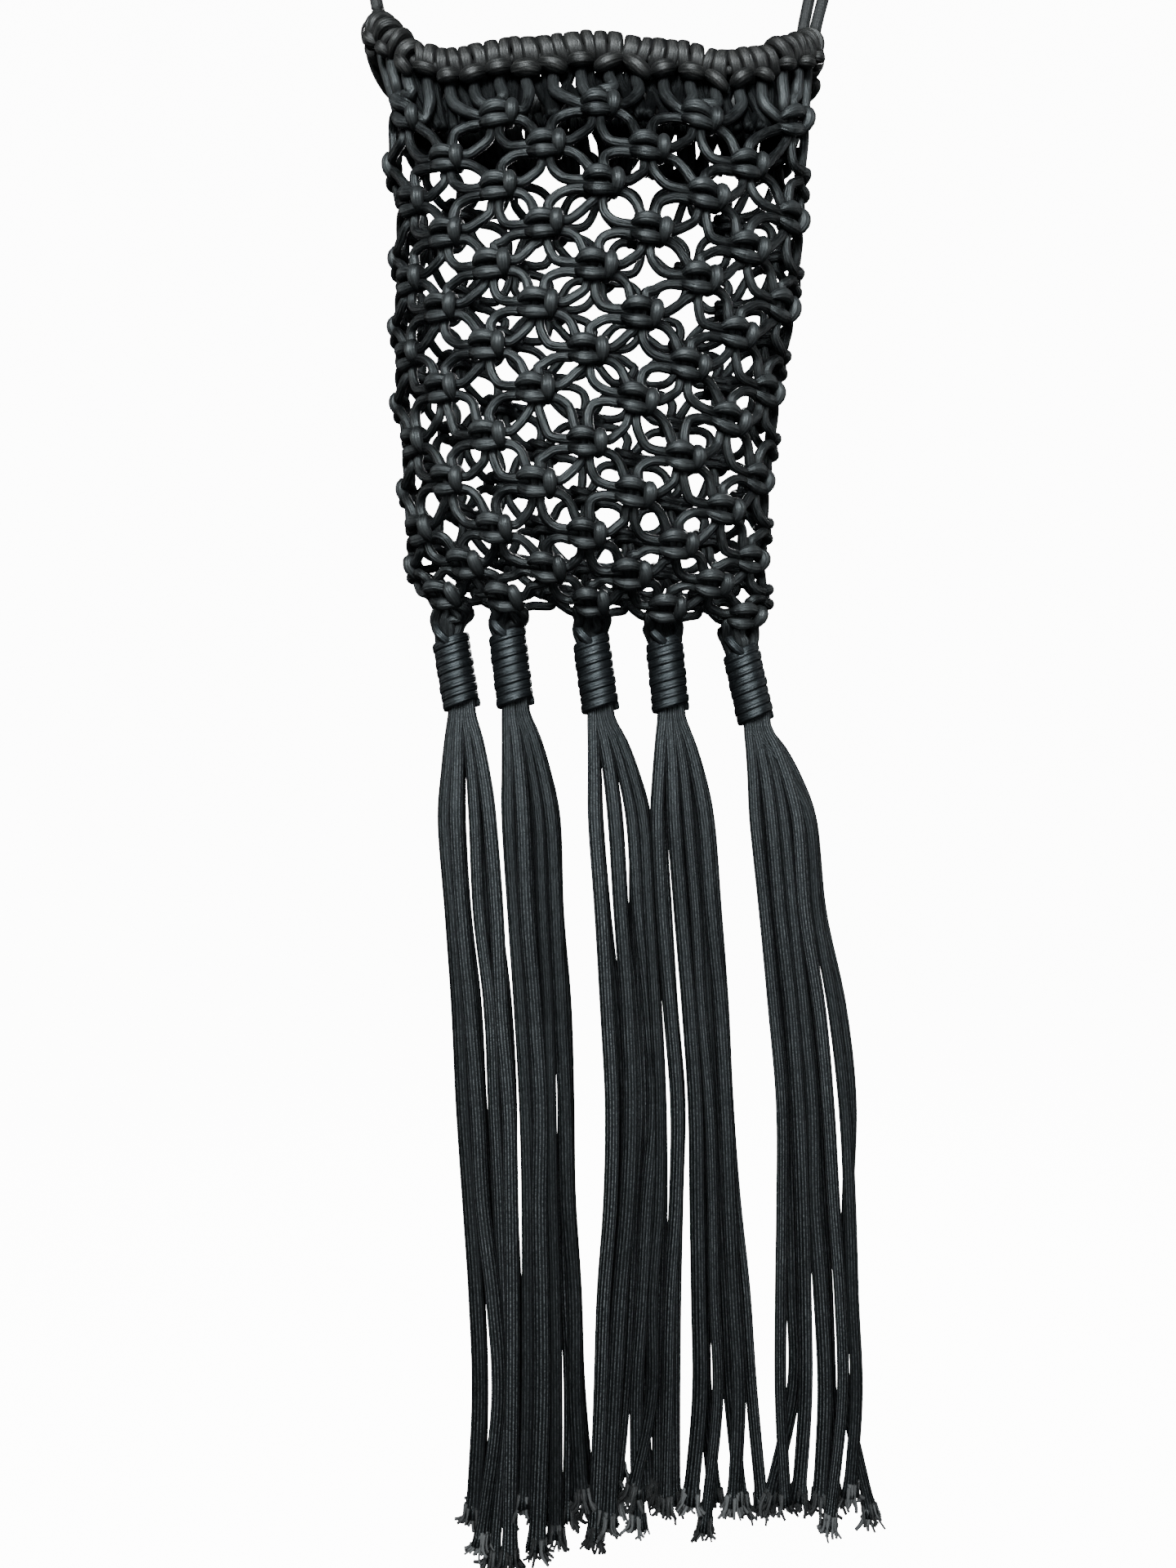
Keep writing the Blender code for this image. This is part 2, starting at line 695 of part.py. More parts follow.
def strand_line(tassel, strand, share):
    """Middle of a strand below the head's block; share 1 is its frayed tip."""
    drop = FRINGE_LENGTH * tassel.drop * strand.length - HEAD_BELOW
    fan = blend(FAN_AT_HEAD, 1.0, smooth_share(share / FAN_FULL_AT))
    sway = (tassel.lean + tassel.bow * 4.0 * (1.0 - share)) * share * FRINGE_LENGTH
    across = strand.across * tassel.spread * FRINGE_SPREAD / 2 * fan + sway
    depth = strand.depth * FRINGE_SPREAD_DEPTH / 2 * fan
    return Vector((across, depth, -drop * share))


def make_fringe(name, tassel, made_material):
    """Eight strands fused to the head that the binding holds."""
    foot = binding_top(tassel) + below_top(tassel, BINDING_LENGTH + HEAD_BELOW)
    shell = bmesh.new()
    grid = {}
    for column in range(HEAD_COLUMNS + 1):
        for row in range(HEAD_ROWS + 1):
            grid[column, row] = shell.verts.new(foot + head_place(column, row))
    edge = head_outline()
    radius = HEAD_THICKNESS / 2
    loops = [[grid[place] for place in edge]]
    for height in (HEAD_BELOW, HEAD_BELOW + BINDING_LENGTH):
        loop = []
        for place in edge:
            column, row = place
            towards = Vector((column / HEAD_COLUMNS - 0.5, row / HEAD_ROWS - 0.5, 0.0)).normalized()
            loop.append(shell.verts.new(foot + towards * radius + below_top(tassel, -height)))
        loops.append(loop)
    for low, high in zip(loops, loops[1:]):
        for i in range(len(edge)):
            j = (i + 1) % len(edge)
            shell.faces.new((low[i], low[j], high[j], high[i]))
    shell.faces.new(loops[-1])
    roots = []
    for row in range(HEAD_ROWS):
        for column in range(HEAD_COLUMNS):
            corners = [(column, row), (column, row + 1), (column + 1, row + 1), (column + 1, row)]
            roots.append(shell.faces.new([grid[c] for c in corners]))
    for root, strand in zip(roots, STRANDS):
        bmesh.ops.inset_individual(shell, faces=[root], thickness=STRAND_SPLIT / 2)
        centre = root.calc_center_median()
        corners = [v.co - centre for v in root.verts]
        tip = root
        for share in STRAND_STEPS:
            made = bmesh.ops.extrude_discrete_faces(shell, faces=[tip])
            tip = made["faces"][0]
            target = strand_line(tassel, strand, share)
            start = (centre - foot) * (1.0 - smooth_share(share / ROOT_GONE_AT))
            swell = TIP_SWELL if share == STRAND_STEPS[-1] else 1.0
            for vertex, corner in zip(tip.verts, corners):
                vertex.co = foot + start + target + corner * swell
    bmesh.ops.recalc_face_normals(shell, faces=shell.faces)
    bmesh.ops.triangulate(shell, faces=[f for f in shell.faces if len(f.verts) > 4])
    mesh = bpy.data.meshes.new(name)
    shell.to_mesh(mesh)
    shell.free()
    return finish_object(name, mesh, made_material, sharp_angle=60.0)


def main():
    clear_scene()
    make_net(material("net_cord", (0.017, 0.020, 0.021), 0.58))
    make_rim(material("rim_cord", (0.026, 0.028, 0.028), 0.62))
    make_strap(material("strap_cord", (0.017, 0.020, 0.022), 0.60))
    make_ring("strap_ring_left", -1.0, 0.0, material("ring_left_wire", (0.010, 0.010, 0.011), 0.32, 0.9))
    right_wire = material("ring_right_wire", (0.010, 0.010, 0.011), 0.32, 0.9)
    make_ring("strap_ring_right", 1.0, RIGHT_RING_TURN, right_wire)
    for number, tassel in enumerate(TASSELS, start=1):
        wound = material(f"binding_cord_{number}", (0.016, 0.018, 0.020), 0.60)
        make_binding(f"tassel_binding_{number}", tassel, wound)
        bare = material(f"fringe_cord_{number}", (0.014, 0.017, 0.018), 0.75)
        make_fringe(f"fringe_{number}", tassel, bare)


main()
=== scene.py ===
"""Looks of a knotted cord shoulder bag with five tassels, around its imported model.

Metres, +Z up. The front of the bag looks along -Y and +X is to the right of someone who faces it. The tables
of the bag's tube, its tassels and its strap repeat those of the model's source, so that each cord follows
its solid. Tables of points of single cords are in millimetres.
"""

import math
import random
from bisect import bisect_right
from collections import namedtuple

import bpy
import numpy as np
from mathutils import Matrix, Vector


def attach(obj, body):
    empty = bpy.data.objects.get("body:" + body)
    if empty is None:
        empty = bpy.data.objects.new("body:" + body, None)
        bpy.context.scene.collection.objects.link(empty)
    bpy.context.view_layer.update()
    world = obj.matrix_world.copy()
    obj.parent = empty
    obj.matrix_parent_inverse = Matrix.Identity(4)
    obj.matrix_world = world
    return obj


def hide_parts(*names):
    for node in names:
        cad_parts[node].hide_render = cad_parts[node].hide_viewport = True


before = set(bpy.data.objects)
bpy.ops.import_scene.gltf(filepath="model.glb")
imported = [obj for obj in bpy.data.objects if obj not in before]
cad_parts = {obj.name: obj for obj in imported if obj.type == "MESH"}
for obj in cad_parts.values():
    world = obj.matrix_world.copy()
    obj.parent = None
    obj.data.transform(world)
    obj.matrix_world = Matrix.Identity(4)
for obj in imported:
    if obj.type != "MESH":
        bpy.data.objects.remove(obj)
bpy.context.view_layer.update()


def rows_of(kind, *rows):
    """A table's rows with their columns named."""
    return [kind(*row) for row in rows]


MM = 0.001
SEED = 11

# Camera: its place, level with the net's lower part, and its long side and focal length in millimetres
CAMERA_PLACE = (-0.0025, -0.5, -0.786)
CAMERA_SIDE = 36.0
CAMERA_LENS = 28.125

# Sizes repeated from the model's source
GAP = 0.0003
RIM_HALF_WIDTH = 0.0877
RIM_HALF_DEPTH = 0.0185
RIM_CORE = 0.0054
RIM_WAVE = 0.007
CORDS_PER_KNOT = 4
NET_LENGTH = 0.2149
NET_HALF_WIDTH = 0.0835
NET_HALF_DEPTH = 0.043
BINDING_LENGTH = 0.028
BINDING_WALL = 0.0023
NECK_LENGTH = 0.0110
HEAD_THICKNESS = 0.0104
RING_PLAY = 0.0022
RING_WIRE = 0.0012
RING_WIDTH = 0.0024
RIGHT_RING_TURN = math.radians(30.0)
RIGHT_STRAP_TURN = math.radians(65.0)
STRAP_RISE = 0.500
STRAP_CORD = 0.0050
STRAP_BULGE = 0.062
STRAP_BULGE_RISE = 0.56
STRAP_SHOULDER = 0.122
STRAP_BEND_PLAY = 0.0003
STRAP_PAIR_GAP = 0.0012
STRAP_CLOSED_AT = 0.10
STRAP_TURNED_AT = 0.06
STRAP_TURN_KEPT = 0.10
STRAP_TURN_GONE = 0.50
STRAP_BEND_POINTS = 5
STRAP_STEPS = [0.0, 0.03, 0.07, 0.12, 0.20, 0.30, 0.40, 0.50, 0.60, 0.68, 0.76, 0.84, 0.92, 1.0]

RIM_Z = -STRAP_RISE
BINDING_RADIUS = HEAD_THICKNESS / 2 + GAP + BINDING_WALL
RING_INSIDE = RIM_CORE + STRAP_CORD + RING_PLAY
RING_OUTSIDE = RING_INSIDE + 2 * RING_WIRE

# Cross-sections of the bag from the band (row 0) down, one row each, as in the model's source
# below: share of the net's length; width, depth, shift: shares of its half sizes; oval: 0 for straight sides
# with round ends, 1 for an ellipse; slope: of the row to the right; wave: share of the rim's wave
Section = namedtuple("Section", "below width depth oval shift slope wave")
SECTIONS = rows_of(
    Section,
    (0.044, 1.044, 0.44, 0.0, 0.0, 0.0, 1.0),
    (0.129, 1.0, 0.68, 0.5, 0.028, 0.0, 0.7),
    (0.211, 0.988, 0.85, 1.0, 0.010, 0.02, 0.4),
    (0.288, 0.968, 0.95, 1.0, 0.036, 0.04, 0.2),
    (0.366, 0.954, 1.0, 1.0, 0.008, 0.05, 0.0),
    (0.436, 0.946, 1.0, 1.0, 0.008, 0.07, 0.0),
    (0.508, 0.922, 1.0, 1.0, -0.028, 0.09, 0.0),
    (0.582, 0.907, 1.0, 1.0, -0.032, 0.1, 0.0),
    (0.656, 0.896, 1.0, 1.0, -0.042, 0.11, 0.0),
    (0.741, 0.862, 1.0, 1.0, -0.040, 0.11, 0.0),
    (0.816, 0.865, 0.95, 1.0, -0.042, 0.11, 0.0),
    (0.893, 0.848, 0.83, 1.0, -0.042, 0.09, 0.0),
    (0.950, 0.853, 0.6, 1.0, -0.026, 0.08, 0.0),
    (1.0, 0.830, 0.34, 1.0, -0.008, 0.07, 0.0),
)
LAST_ROW = len(SECTIONS) - 1
OVAL_STEPS = 720

# The wavy top line of the rim's front and back: share of the half width, share of RIM_WAVE
FRONT_WAVE = [
    (-1.0, 2.4), (-0.98, 2.4), (-0.95, 1.9), (-0.89, 0.8), (-0.8, -0.2),
    (-0.66, -0.6), (-0.32, 0.0), (0.0, 0.35), (0.34, -0.15), (0.6, -0.72),
    (0.78, -0.4), (0.84, 0.15), (0.93, 0.6), (0.98, 1.45), (1.0, 1.45),
]
BACK_WAVE = [
    (-1.0, 2.4), (-0.98, 2.4), (-0.89, 1.5), (-0.6, 0.8), (-0.2, 0.2),
    (0.1, 0.1), (0.6, 0.0), (0.85, 0.4), (0.98, 1.45), (1.0, 1.45),
]
WAVE_FADE = 1.5

# turn: round the bottom row, in knots; tilt: of the binding; above and below: how far the wound cord
# starts over the solid's top and ends under its foot, in millimetres
Tassel = namedtuple("Tassel", "turn tilt above below")
TASSELS = [
    Tassel(-2.03, 0.165, -4.0, 6.5),
    Tassel(-1.20, 0.120, 0.5, 4.0),
    Tassel(-0.03, 0.140, 0.0, 3.7),
    Tassel(1.00, 0.100, 2.0, 1.5),
    Tassel(2.08, 0.220, 0.0, 3.5),
]
KNOTS_ROUND = 2 * len(TASSELS)
HITCHES = CORDS_PER_KNOT * KNOTS_ROUND

# Where each tassel's strands hang: millimetres to the right of the bag's middle at the fringe's shoulder,
# middle, low part and end; the height of the end and the depth, in millimetres; and the share of the width.
# Eight rows a tassel, and STRAND_HEIGHTS are those of the shoulder, middle and low part
STRANDS_IN_TASSEL = 2 * CORDS_PER_KNOT
Strand = namedtuple("Strand", "shoulder middle low end end_z depth width")
STRAND_HEIGHTS = [-0.7993, -0.9160, -1.0327]
STRANDS = rows_of(
    Strand,
    (-60.8, -53.2, -46.5, -48.8, -1082.7, -3.0, 1.05),
    (-55.8, -47.2, -38.5, -45.5, -1092.0, -4.6, 1.1),
    (-48.5, -40.5, -36.5, -41.2, -1101.0, -2.6, 0.95),
    (-42.5, -34.5, -33.2, -34.2, -1100.3, -3.6, 1.05),
    (-59.8, -52.8, -46.2, -47.2, -1076.0, 2.4, 0.95),
    (-55.2, -46.8, -38.2, -38.8, -1081.3, 3.6, 0.95),
    (-47.8, -40.2, -35.5, -36.8, -1085.3, 2.0, 0.95),
    (-42.5, -34.2, -32.2, -31.5, -1078.7, 3.0, 0.9),
    (-34.8, -27.5, -26.5, -27.8, -1078.0, -3.2, 1.05),
    (-28.8, -21.8, -21.2, -23.2, -1094.7, -4.4, 1.12),
    (-22.5, -17.8, -15.5, -15.5, -1091.3, -2.4, 0.9),
    (-17.5, -11.8, -7.8, -5.5, -1075.3, -3.6, 1.05),
    (-33.5, -26.2, -24.2, -25.2, -1081.3, 2.8, 0.95),
    (-26.5, -20.8, -19.8, -19.5, -1086.7, 2.2, 0.95),
    (-20.8, -12.5, -9.8, -10.2, -1088.0, 3.2, 0.95),
    (-16.5, -10.8, -6.2, -1.8, -1082.7, 2.4, 1.0),
    (0.2, 7.2, 2.5, 0.2, -1091.3, -3.0, 1.05),
    (8.2, 14.8, 8.2, 5.5, -1084.7, -4.4, 1.08),
    (15.2, 24.2, 17.2, 17.8, -1086.7, -2.6, 0.95),
    (19.5, 26.2, 23.2, 15.5, -1073.3, -3.6, 0.95),
    (1.2, 10.2, 5.2, 9.8, -1070.0, 2.8, 1.0),
    (9.2, 17.8, 12.5, 8.2, -1081.0, 2.2, 1.0),
    (16.2, 20.2, 19.8, 21.5, -1078.7, 3.2, 0.95),
    (20.8, 27.2, 26.2, 26.2, -1076.0, 2.0, 0.95),
    (25.5, 33.5, 29.8, 28.8, -1078.7, -2.8, 1.05),
    (32.2, 40.8, 42.5, 38.8, -1076.0, -4.4, 1.08),
    (38.2, 46.8, 50.2, 44.8, -1087.7, -2.6, 0.92),
    (44.5, 53.5, 58.5, 56.5, -1077.3, -3.6, 1.05),
    (27.2, 34.8, 32.8, 32.8, -1081.3, 2.6, 1.0),
    (34.8, 43.2, 45.5, 49.5, -1080.0, 2.8, 0.95),
    (41.5, 48.8, 55.5, 60.5, -1082.0, 2.2, 1.0),
    (46.8, 54.8, 64.5, 69.2, -1083.3, 3.4, 0.95),
    (65.5, 76.2, 75.5, 77.5, -1076.7, -3.0, 1.0),
    (71.5, 82.2, 85.2, 82.5, -1074.7, -4.2, 1.05),
    (76.8, 88.2, 93.5, 91.5, -1078.0, -2.6, 1.0),
    (82.2, 94.5, 100.2, 94.8, -1084.7, -4.4, 1.05),
    (86.8, 101.5, 106.2, 103.5, -1074.0, -3.0, 0.95),
    (68.8, 79.5, 82.2, 72.2, -1080.7, 2.6, 1.0),
    (79.5, 91.5, 97.2, 98.8, -1079.3, 3.0, 1.0),
    (88.5, 105.2, 102.8, 113.5, -1085.3, 2.0, 0.95),
)

# One square knot, seen from outside, in millimetres from where its two core cords cross its middle
# x: to the right, z: up, y: out of the bag, radius: of the cord there
KnotPoint = namedtuple("KnotPoint", "x z y radius")
CORE_LEFT = rows_of(
    KnotPoint,
    (-4.1, 6.0, 0.2, 2.15),
    (-1.8, 2.6, 0.0, 1.9),
    (-1.4, 0.0, 0.0, 1.8),
    (-1.5, -3.2, 0.0, 1.9),
    (-2.3, -6.0, 0.4, 2.1),
)
CORE_RIGHT = rows_of(
    KnotPoint,
    (0.9, 8.6, 0.4, 2.15),
    (1.4, 5.0, 0.3, 2.1),
    (1.7, 2.4, 0.0, 1.9),
    (1.4, 0.0, 0.0, 1.8),
    (1.0, -3.0, 0.0, 1.9),
    (0.7, -6.0, 0.5, 2.15),
    (1.7, -10.2, 0.6, 2.2),
)
BAR_CORD = rows_of(
    KnotPoint,
    (16.2, 8.0, 0.2, 2.15),
    (12.6, 4.5, 0.4, 2.2),
    (8.8, 1.9, 0.8, 2.15),
    (5.4, 2.1, 2.0, 2.0),
    (2.4, 3.1, 4.0, 2.1),
    (-0.4, 3.5, 5.0, 2.45),
    (-3.0, 3.3, 4.9, 2.5),
    (-5.6, 2.5, 3.5, 1.8),
    (-7.0, 1.4, 1.2, 1.2),
    (-6.3, 0.0, -1.6, 1.3),
    (-6.7, -1.5, 1.2, 1.3),
    (-5.2, -2.6, 3.4, 1.8),
    (-2.7, -3.4, 4.7, 2.4),
    (-0.4, -3.4, 4.8, 2.4),
    (2.6, -3.0, 3.9, 2.05),
    (5.8, -2.5, 1.8, 2.0),
    (9.4, -3.1, 0.8, 2.15),
    (12.6, -5.4, 0.3, 2.15),
)
CLASP_CORD = rows_of(
    KnotPoint,
    (-14.8, 2.6, 0.2, 2.2),
    (-10.2, 1.5, 0.6, 2.15),
    (-6.8, 1.6, 0.6, 2.0),
    (-4.0, 1.2, -0.8, 1.8),
    (0.0, 1.5, -4.0, 1.8),
    (4.0, 2.6, -2.5, 1.9),
    (5.0, 4.0, 1.4, 1.8),
    (5.3, 3.3, 4.6, 2.3),
    (5.4, 1.5, 6.0, 2.65),
    (5.4, -0.7, 5.7, 2.55),
    (5.1, -2.8, 3.2, 1.95),
    (4.4, -3.2, -0.6, 1.8),
    (3.0, -1.6, -3.4, 1.8),
    (0.0, -1.5, -4.0, 1.8),
    (-4.0, -1.4, -0.8, 1.8),
    (-6.8, -2.1, 0.5, 2.0),
    (-9.8, -2.1, 0.6, 2.15),
    (-13.2, -2.6, 0.4, 2.2),
    (-17.0, -4.8, 0.3, 2.2),
)
ROLES = [CLASP_CORD, CORE_LEFT, CORE_RIGHT, BAR_CORD]
# In the bottom row the knot's two outer cords turn down into the neck of their tassel
NECK_TURNS = {
    0: KnotPoint(-6.2, -4.6, 1.0, 2.1),
    3: KnotPoint(6.2, -4.8, 1.0, 2.1),
}

# Half a knot's width, past which its legs begin, and half its height, past which its core cords leave it
KNOT_CORE = 7.0
KNOT_REACH = 5.0
# The spacing that the tables of points were made for, and how far legs follow a wider or closer one
USUAL_PITCH = 0.039
USUAL_STEP = 0.016
LEG_STRETCH = 1.15
CORE_SHORTEN = 0.7
# How much knots differ in tilt, place and size
KNOT_TILT = math.radians(4.0)
KNOT_WANDER = 0.4
KNOT_GROW = 0.04
# The share of their depth that knots keep in front, how much of it at the sides, and their legs' bulge there
KNOT_DEPTH = 0.86
SIDE_DEPTH = 0.5
SIDE_BULGE = 1.4
# Legs are thinner, and the thicker cord of a knot is worn paler
LEG_THIN = 0.88
LEG_RADIUS = 2.05
WORN_SWELL = 0.45
WORN_KNOT = 1.1
NET_STEP = 1.75 * MM

# How hitches spread on the rim, how they gather at its ends, and where their cords come out below
HITCH_STRETCH = 0.09
HITCH_GATHER = 0.0737
HITCH_DROP = 0.0050
HITCH_OUT = 0.0006

# A cord's way down its neck, from above: share of its place across, with more for the two outer cords; how
# far it lies in front, with less for those; its height over the binding's top; and its radius
NeckPoint = namedtuple("NeckPoint", "share outer_share out outer_out z radius")
NECK_SPACING = 2.4
NECK_POINTS = [
    NeckPoint(1.0, 0.45, 4.6, 1.8, 2.0, 2.2),
    NeckPoint(1.0, 0.0, 3.0, 1.0, -3.0, 2.1),
    NeckPoint(0.9, 0.0, 2.2, 0.0, -8.0, 1.9),
]

# The cord ends behind the hitches: the row that they reach, the share of their lean, and how deep they lie
BandPoint = namedtuple("BandPoint", "row lean deepest shallowest")
BAND_POINTS = [
    BandPoint(0.15, 0.3, -3.6, -2.2),
    BandPoint(0.60, 0.8, -4.6, -3.0),
    BandPoint(0.97, 1.3, -5.4, -3.6),
]


def blend(low, high, share):
    return low + (high - low) * share


def smooth_share(share):
    share = min(1.0, max(0.0, share))
    return share * share * (3.0 - 2.0 * share)


def vec(x, y, z):
    return np.array((x, y, z), dtype=float)


def unit(v):
    return v / max(1e-12, float(np.linalg.norm(v)))


def turned(first, second, angle):
    """A direction at an angle from the first towards the second."""
    return first * np.cos(angle) + second * np.sin(angle)


def added_object(name, data):
    made = bpy.data.objects.new(name, data)
    bpy.context.scene.collection.objects.link(made)
    return made


UP = vec(0.0, 0.0, 1.0)
FRONT = vec(0.0, -1.0, 0.0)


# The bag's tube


def wave_rise(waves, across):
    across = min(1.0, max(-1.0, across))
    after = min(len(waves) - 1, bisect_right([w[0] for w in waves], across))
    low = waves[after - 1]
    high = waves[after]
    share = smooth_share((across - low[0]) / (high[0] - low[0]))
    return RIM_WAVE * blend(low[1], high[1], share)


def stadium_point(half_width, half_depth, along):
    """A point of an outline with straight long sides and round ends, from the middle of its front."""
    straight = half_width - half_depth
    arc = math.pi * half_depth
    if along < straight:
        return along, -half_depth
    along -= straight
    if along < arc:
        angle = along / half_depth
        return straight + half_depth * math.sin(angle), -half_depth * math.cos(angle)
    along -= arc
    if along < 2.0 * straight:
        return straight - along, half_depth
    along -= 2.0 * straight
    if along < arc:
        angle = along / half_depth
        return -straight - half_depth * math.sin(angle), half_depth * math.cos(angle)
    return -straight + along - arc, -half_depth


def oval_table(section):
    half_width = section.width * NET_HALF_WIDTH
    half_depth = section.depth * NET_HALF_DEPTH
    perimeter = 4.0 * (half_width - half_depth) + math.tau * half_depth
    points = []
    for i in range(OVAL_STEPS + 1):
        angle = math.tau * i / OVAL_STEPS
        ellipse = np.array((half_width * math.sin(angle), -half_depth * math.cos(angle)))
        stadium = np.array(stadium_point(half_width, half_depth, perimeter * i / OVAL_STEPS))
        points.append(blend(stadium, ellipse, section.oval))
    points = np.array(points)
    lengths = np.concatenate([[0.0], np.cumsum(np.linalg.norm(np.diff(points, axis=0), axis=1))])
    return points, lengths


OVALS = [oval_table(section) for section in SECTIONS]


def pitch(row):
    return OVALS[row][1][-1] / KNOTS_ROUND


def row_step(row):
    low = min(LAST_ROW - 1, max(0, row))
    return (SECTIONS[low + 1].below - SECTIONS[low].below) * NET_LENGTH


def row_place(row, turn):
    """A point of a whole row, and the way that the surface faces there."""
    section = SECTIONS[row]
    points, lengths = OVALS[row]
    along = (turn / KNOTS_ROUND % 1.0) * lengths[-1]
    after = min(OVAL_STEPS, int(np.searchsorted(lengths, along, side="right")))
    share = (along - lengths[after - 1]) / (lengths[after] - lengths[after - 1])
    flat = blend(points[after - 1], points[after], share)
    run = points[after] - points[after - 1]
    across = flat[0] / (section.width * NET_HALF_WIDTH)
    front = smooth_share(0.5 + WAVE_FADE * math.cos(math.tau * turn / KNOTS_ROUND))
    rise = blend(wave_rise(BACK_WAVE, across), wave_rise(FRONT_WAVE, across), front) * section.wave
    drop = section.below * NET_LENGTH + section.slope * flat[0]
    place = vec(flat[0] + section.shift * NET_HALF_WIDTH, flat[1], RIM_Z - drop + rise)
    return place, unit(vec(run[1], -run[0], 0.0))


def net_point(row, turn, out=0.0):
    """A point on the net's middle surface, or out from it; row may lie between two rows of knots."""
    low = min(LAST_ROW - 1, max(0, math.floor(row)))
    share = row - low
    upper, upper_facing = row_place(low, turn)
    lower, lower_facing = row_place(low + 1, turn)
    return blend(upper, lower, share) + unit(blend(upper_facing, lower_facing, share)) * out


def knot_turns(row):
    if row < LAST_ROW:
        return [k + (0.0 if row % 2 else 0.5) for k in range(KNOTS_ROUND)]
    front = [t.turn for t in TASSELS]
    back = [KNOTS_ROUND / 2 - t.turn for t in reversed(TASSELS)]
    middle = len(front) // 2
    return front[middle:] + back + [t + KNOTS_ROUND for t in front[:middle]]


def rim_line(turn):
    """Middle line of the rim, its direction and the way that it faces."""
    place = row_place(0, turn)[0]
    along = row_place(0, turn + 0.05)[0] - row_place(0, turn - 0.05)[0]
    place[0] *= RIM_HALF_WIDTH / (SECTIONS[0].width * NET_HALF_WIDTH)
    place[1] *= RIM_HALF_DEPTH / (SECTIONS[0].depth * NET_HALF_DEPTH)
    place[2] += SECTIONS[0].below * NET_LENGTH
    along = unit(along)
    return place, along, unit(vec(along[1], -along[0], 0.0))


def tassel_point(tassel):
    front = net_point(LAST_ROW, tassel.turn)
    return vec(front[0], 0.0, front[2])


def binding_top(tassel):
    return tassel_point(tassel) - UP * NECK_LENGTH


# Cords as meshes


def between(t, t0, t1, a, b):
    """Where t is on the way from a, at t0, to b, at t1."""
    return (t1 - t) / (t1 - t0) * a + (t - t0) / (t1 - t0) * b


def smooth_path(points, step, closed=False):
    """Points about a step apart on a smooth curve through the given ones; a radius goes along as a column."""
    given = np.asarray(points, dtype=float)
    if closed:
        given = np.vstack([given[-1:], given, given[:2]])
    else:
        given = np.vstack([2 * given[0] - given[1], given, 2 * given[-1] - given[-2]])
    made = []
    for i in range(1, len(given) - 2):
        p = given[i - 1 : i + 3]
        gaps = np.maximum(1e-5, np.linalg.norm(np.diff(p[:, :3], axis=0), axis=1) ** 0.5)
        t0, t1, t2, t3 = np.concatenate([[0.0], np.cumsum(gaps)])
        count = max(1, math.ceil(np.linalg.norm((p[2] - p[1])[:3]) / step))
        t = np.linspace(t1, t2, count, endpoint=False)[:, None]
        a = between(t, t0, t1, p[0], p[1])
        b = between(t, t1, t2, p[1], p[2])
        c = between(t, t2, t3, p[2], p[3])
        made.append(between(t, t1, t2, between(t, t0, t2, a, b), between(t, t1, t3, b, c)))
    if not closed:
        made.append(given[-2:-1])
    return np.vstack(made)


def path_directions(path, closed):
    if closed:
        ways = np.roll(path, -1, axis=0) - np.roll(path, 1, axis=0)
    else:
        ways = np.gradient(path, axis=0)
    return ways / np.maximum(1e-12, np.linalg.norm(ways, axis=1))[:, None]


def carried_normals(ways, start):
    """Normals that turn as little as they can along a path."""
    normals = [unit(start - ways[0] * float(np.dot(start, ways[0])))]
    for way in ways[1:]:
        last = normals[-1]
        normals.append(unit(last - way * float(np.dot(last, way))))
    return np.array(normals)


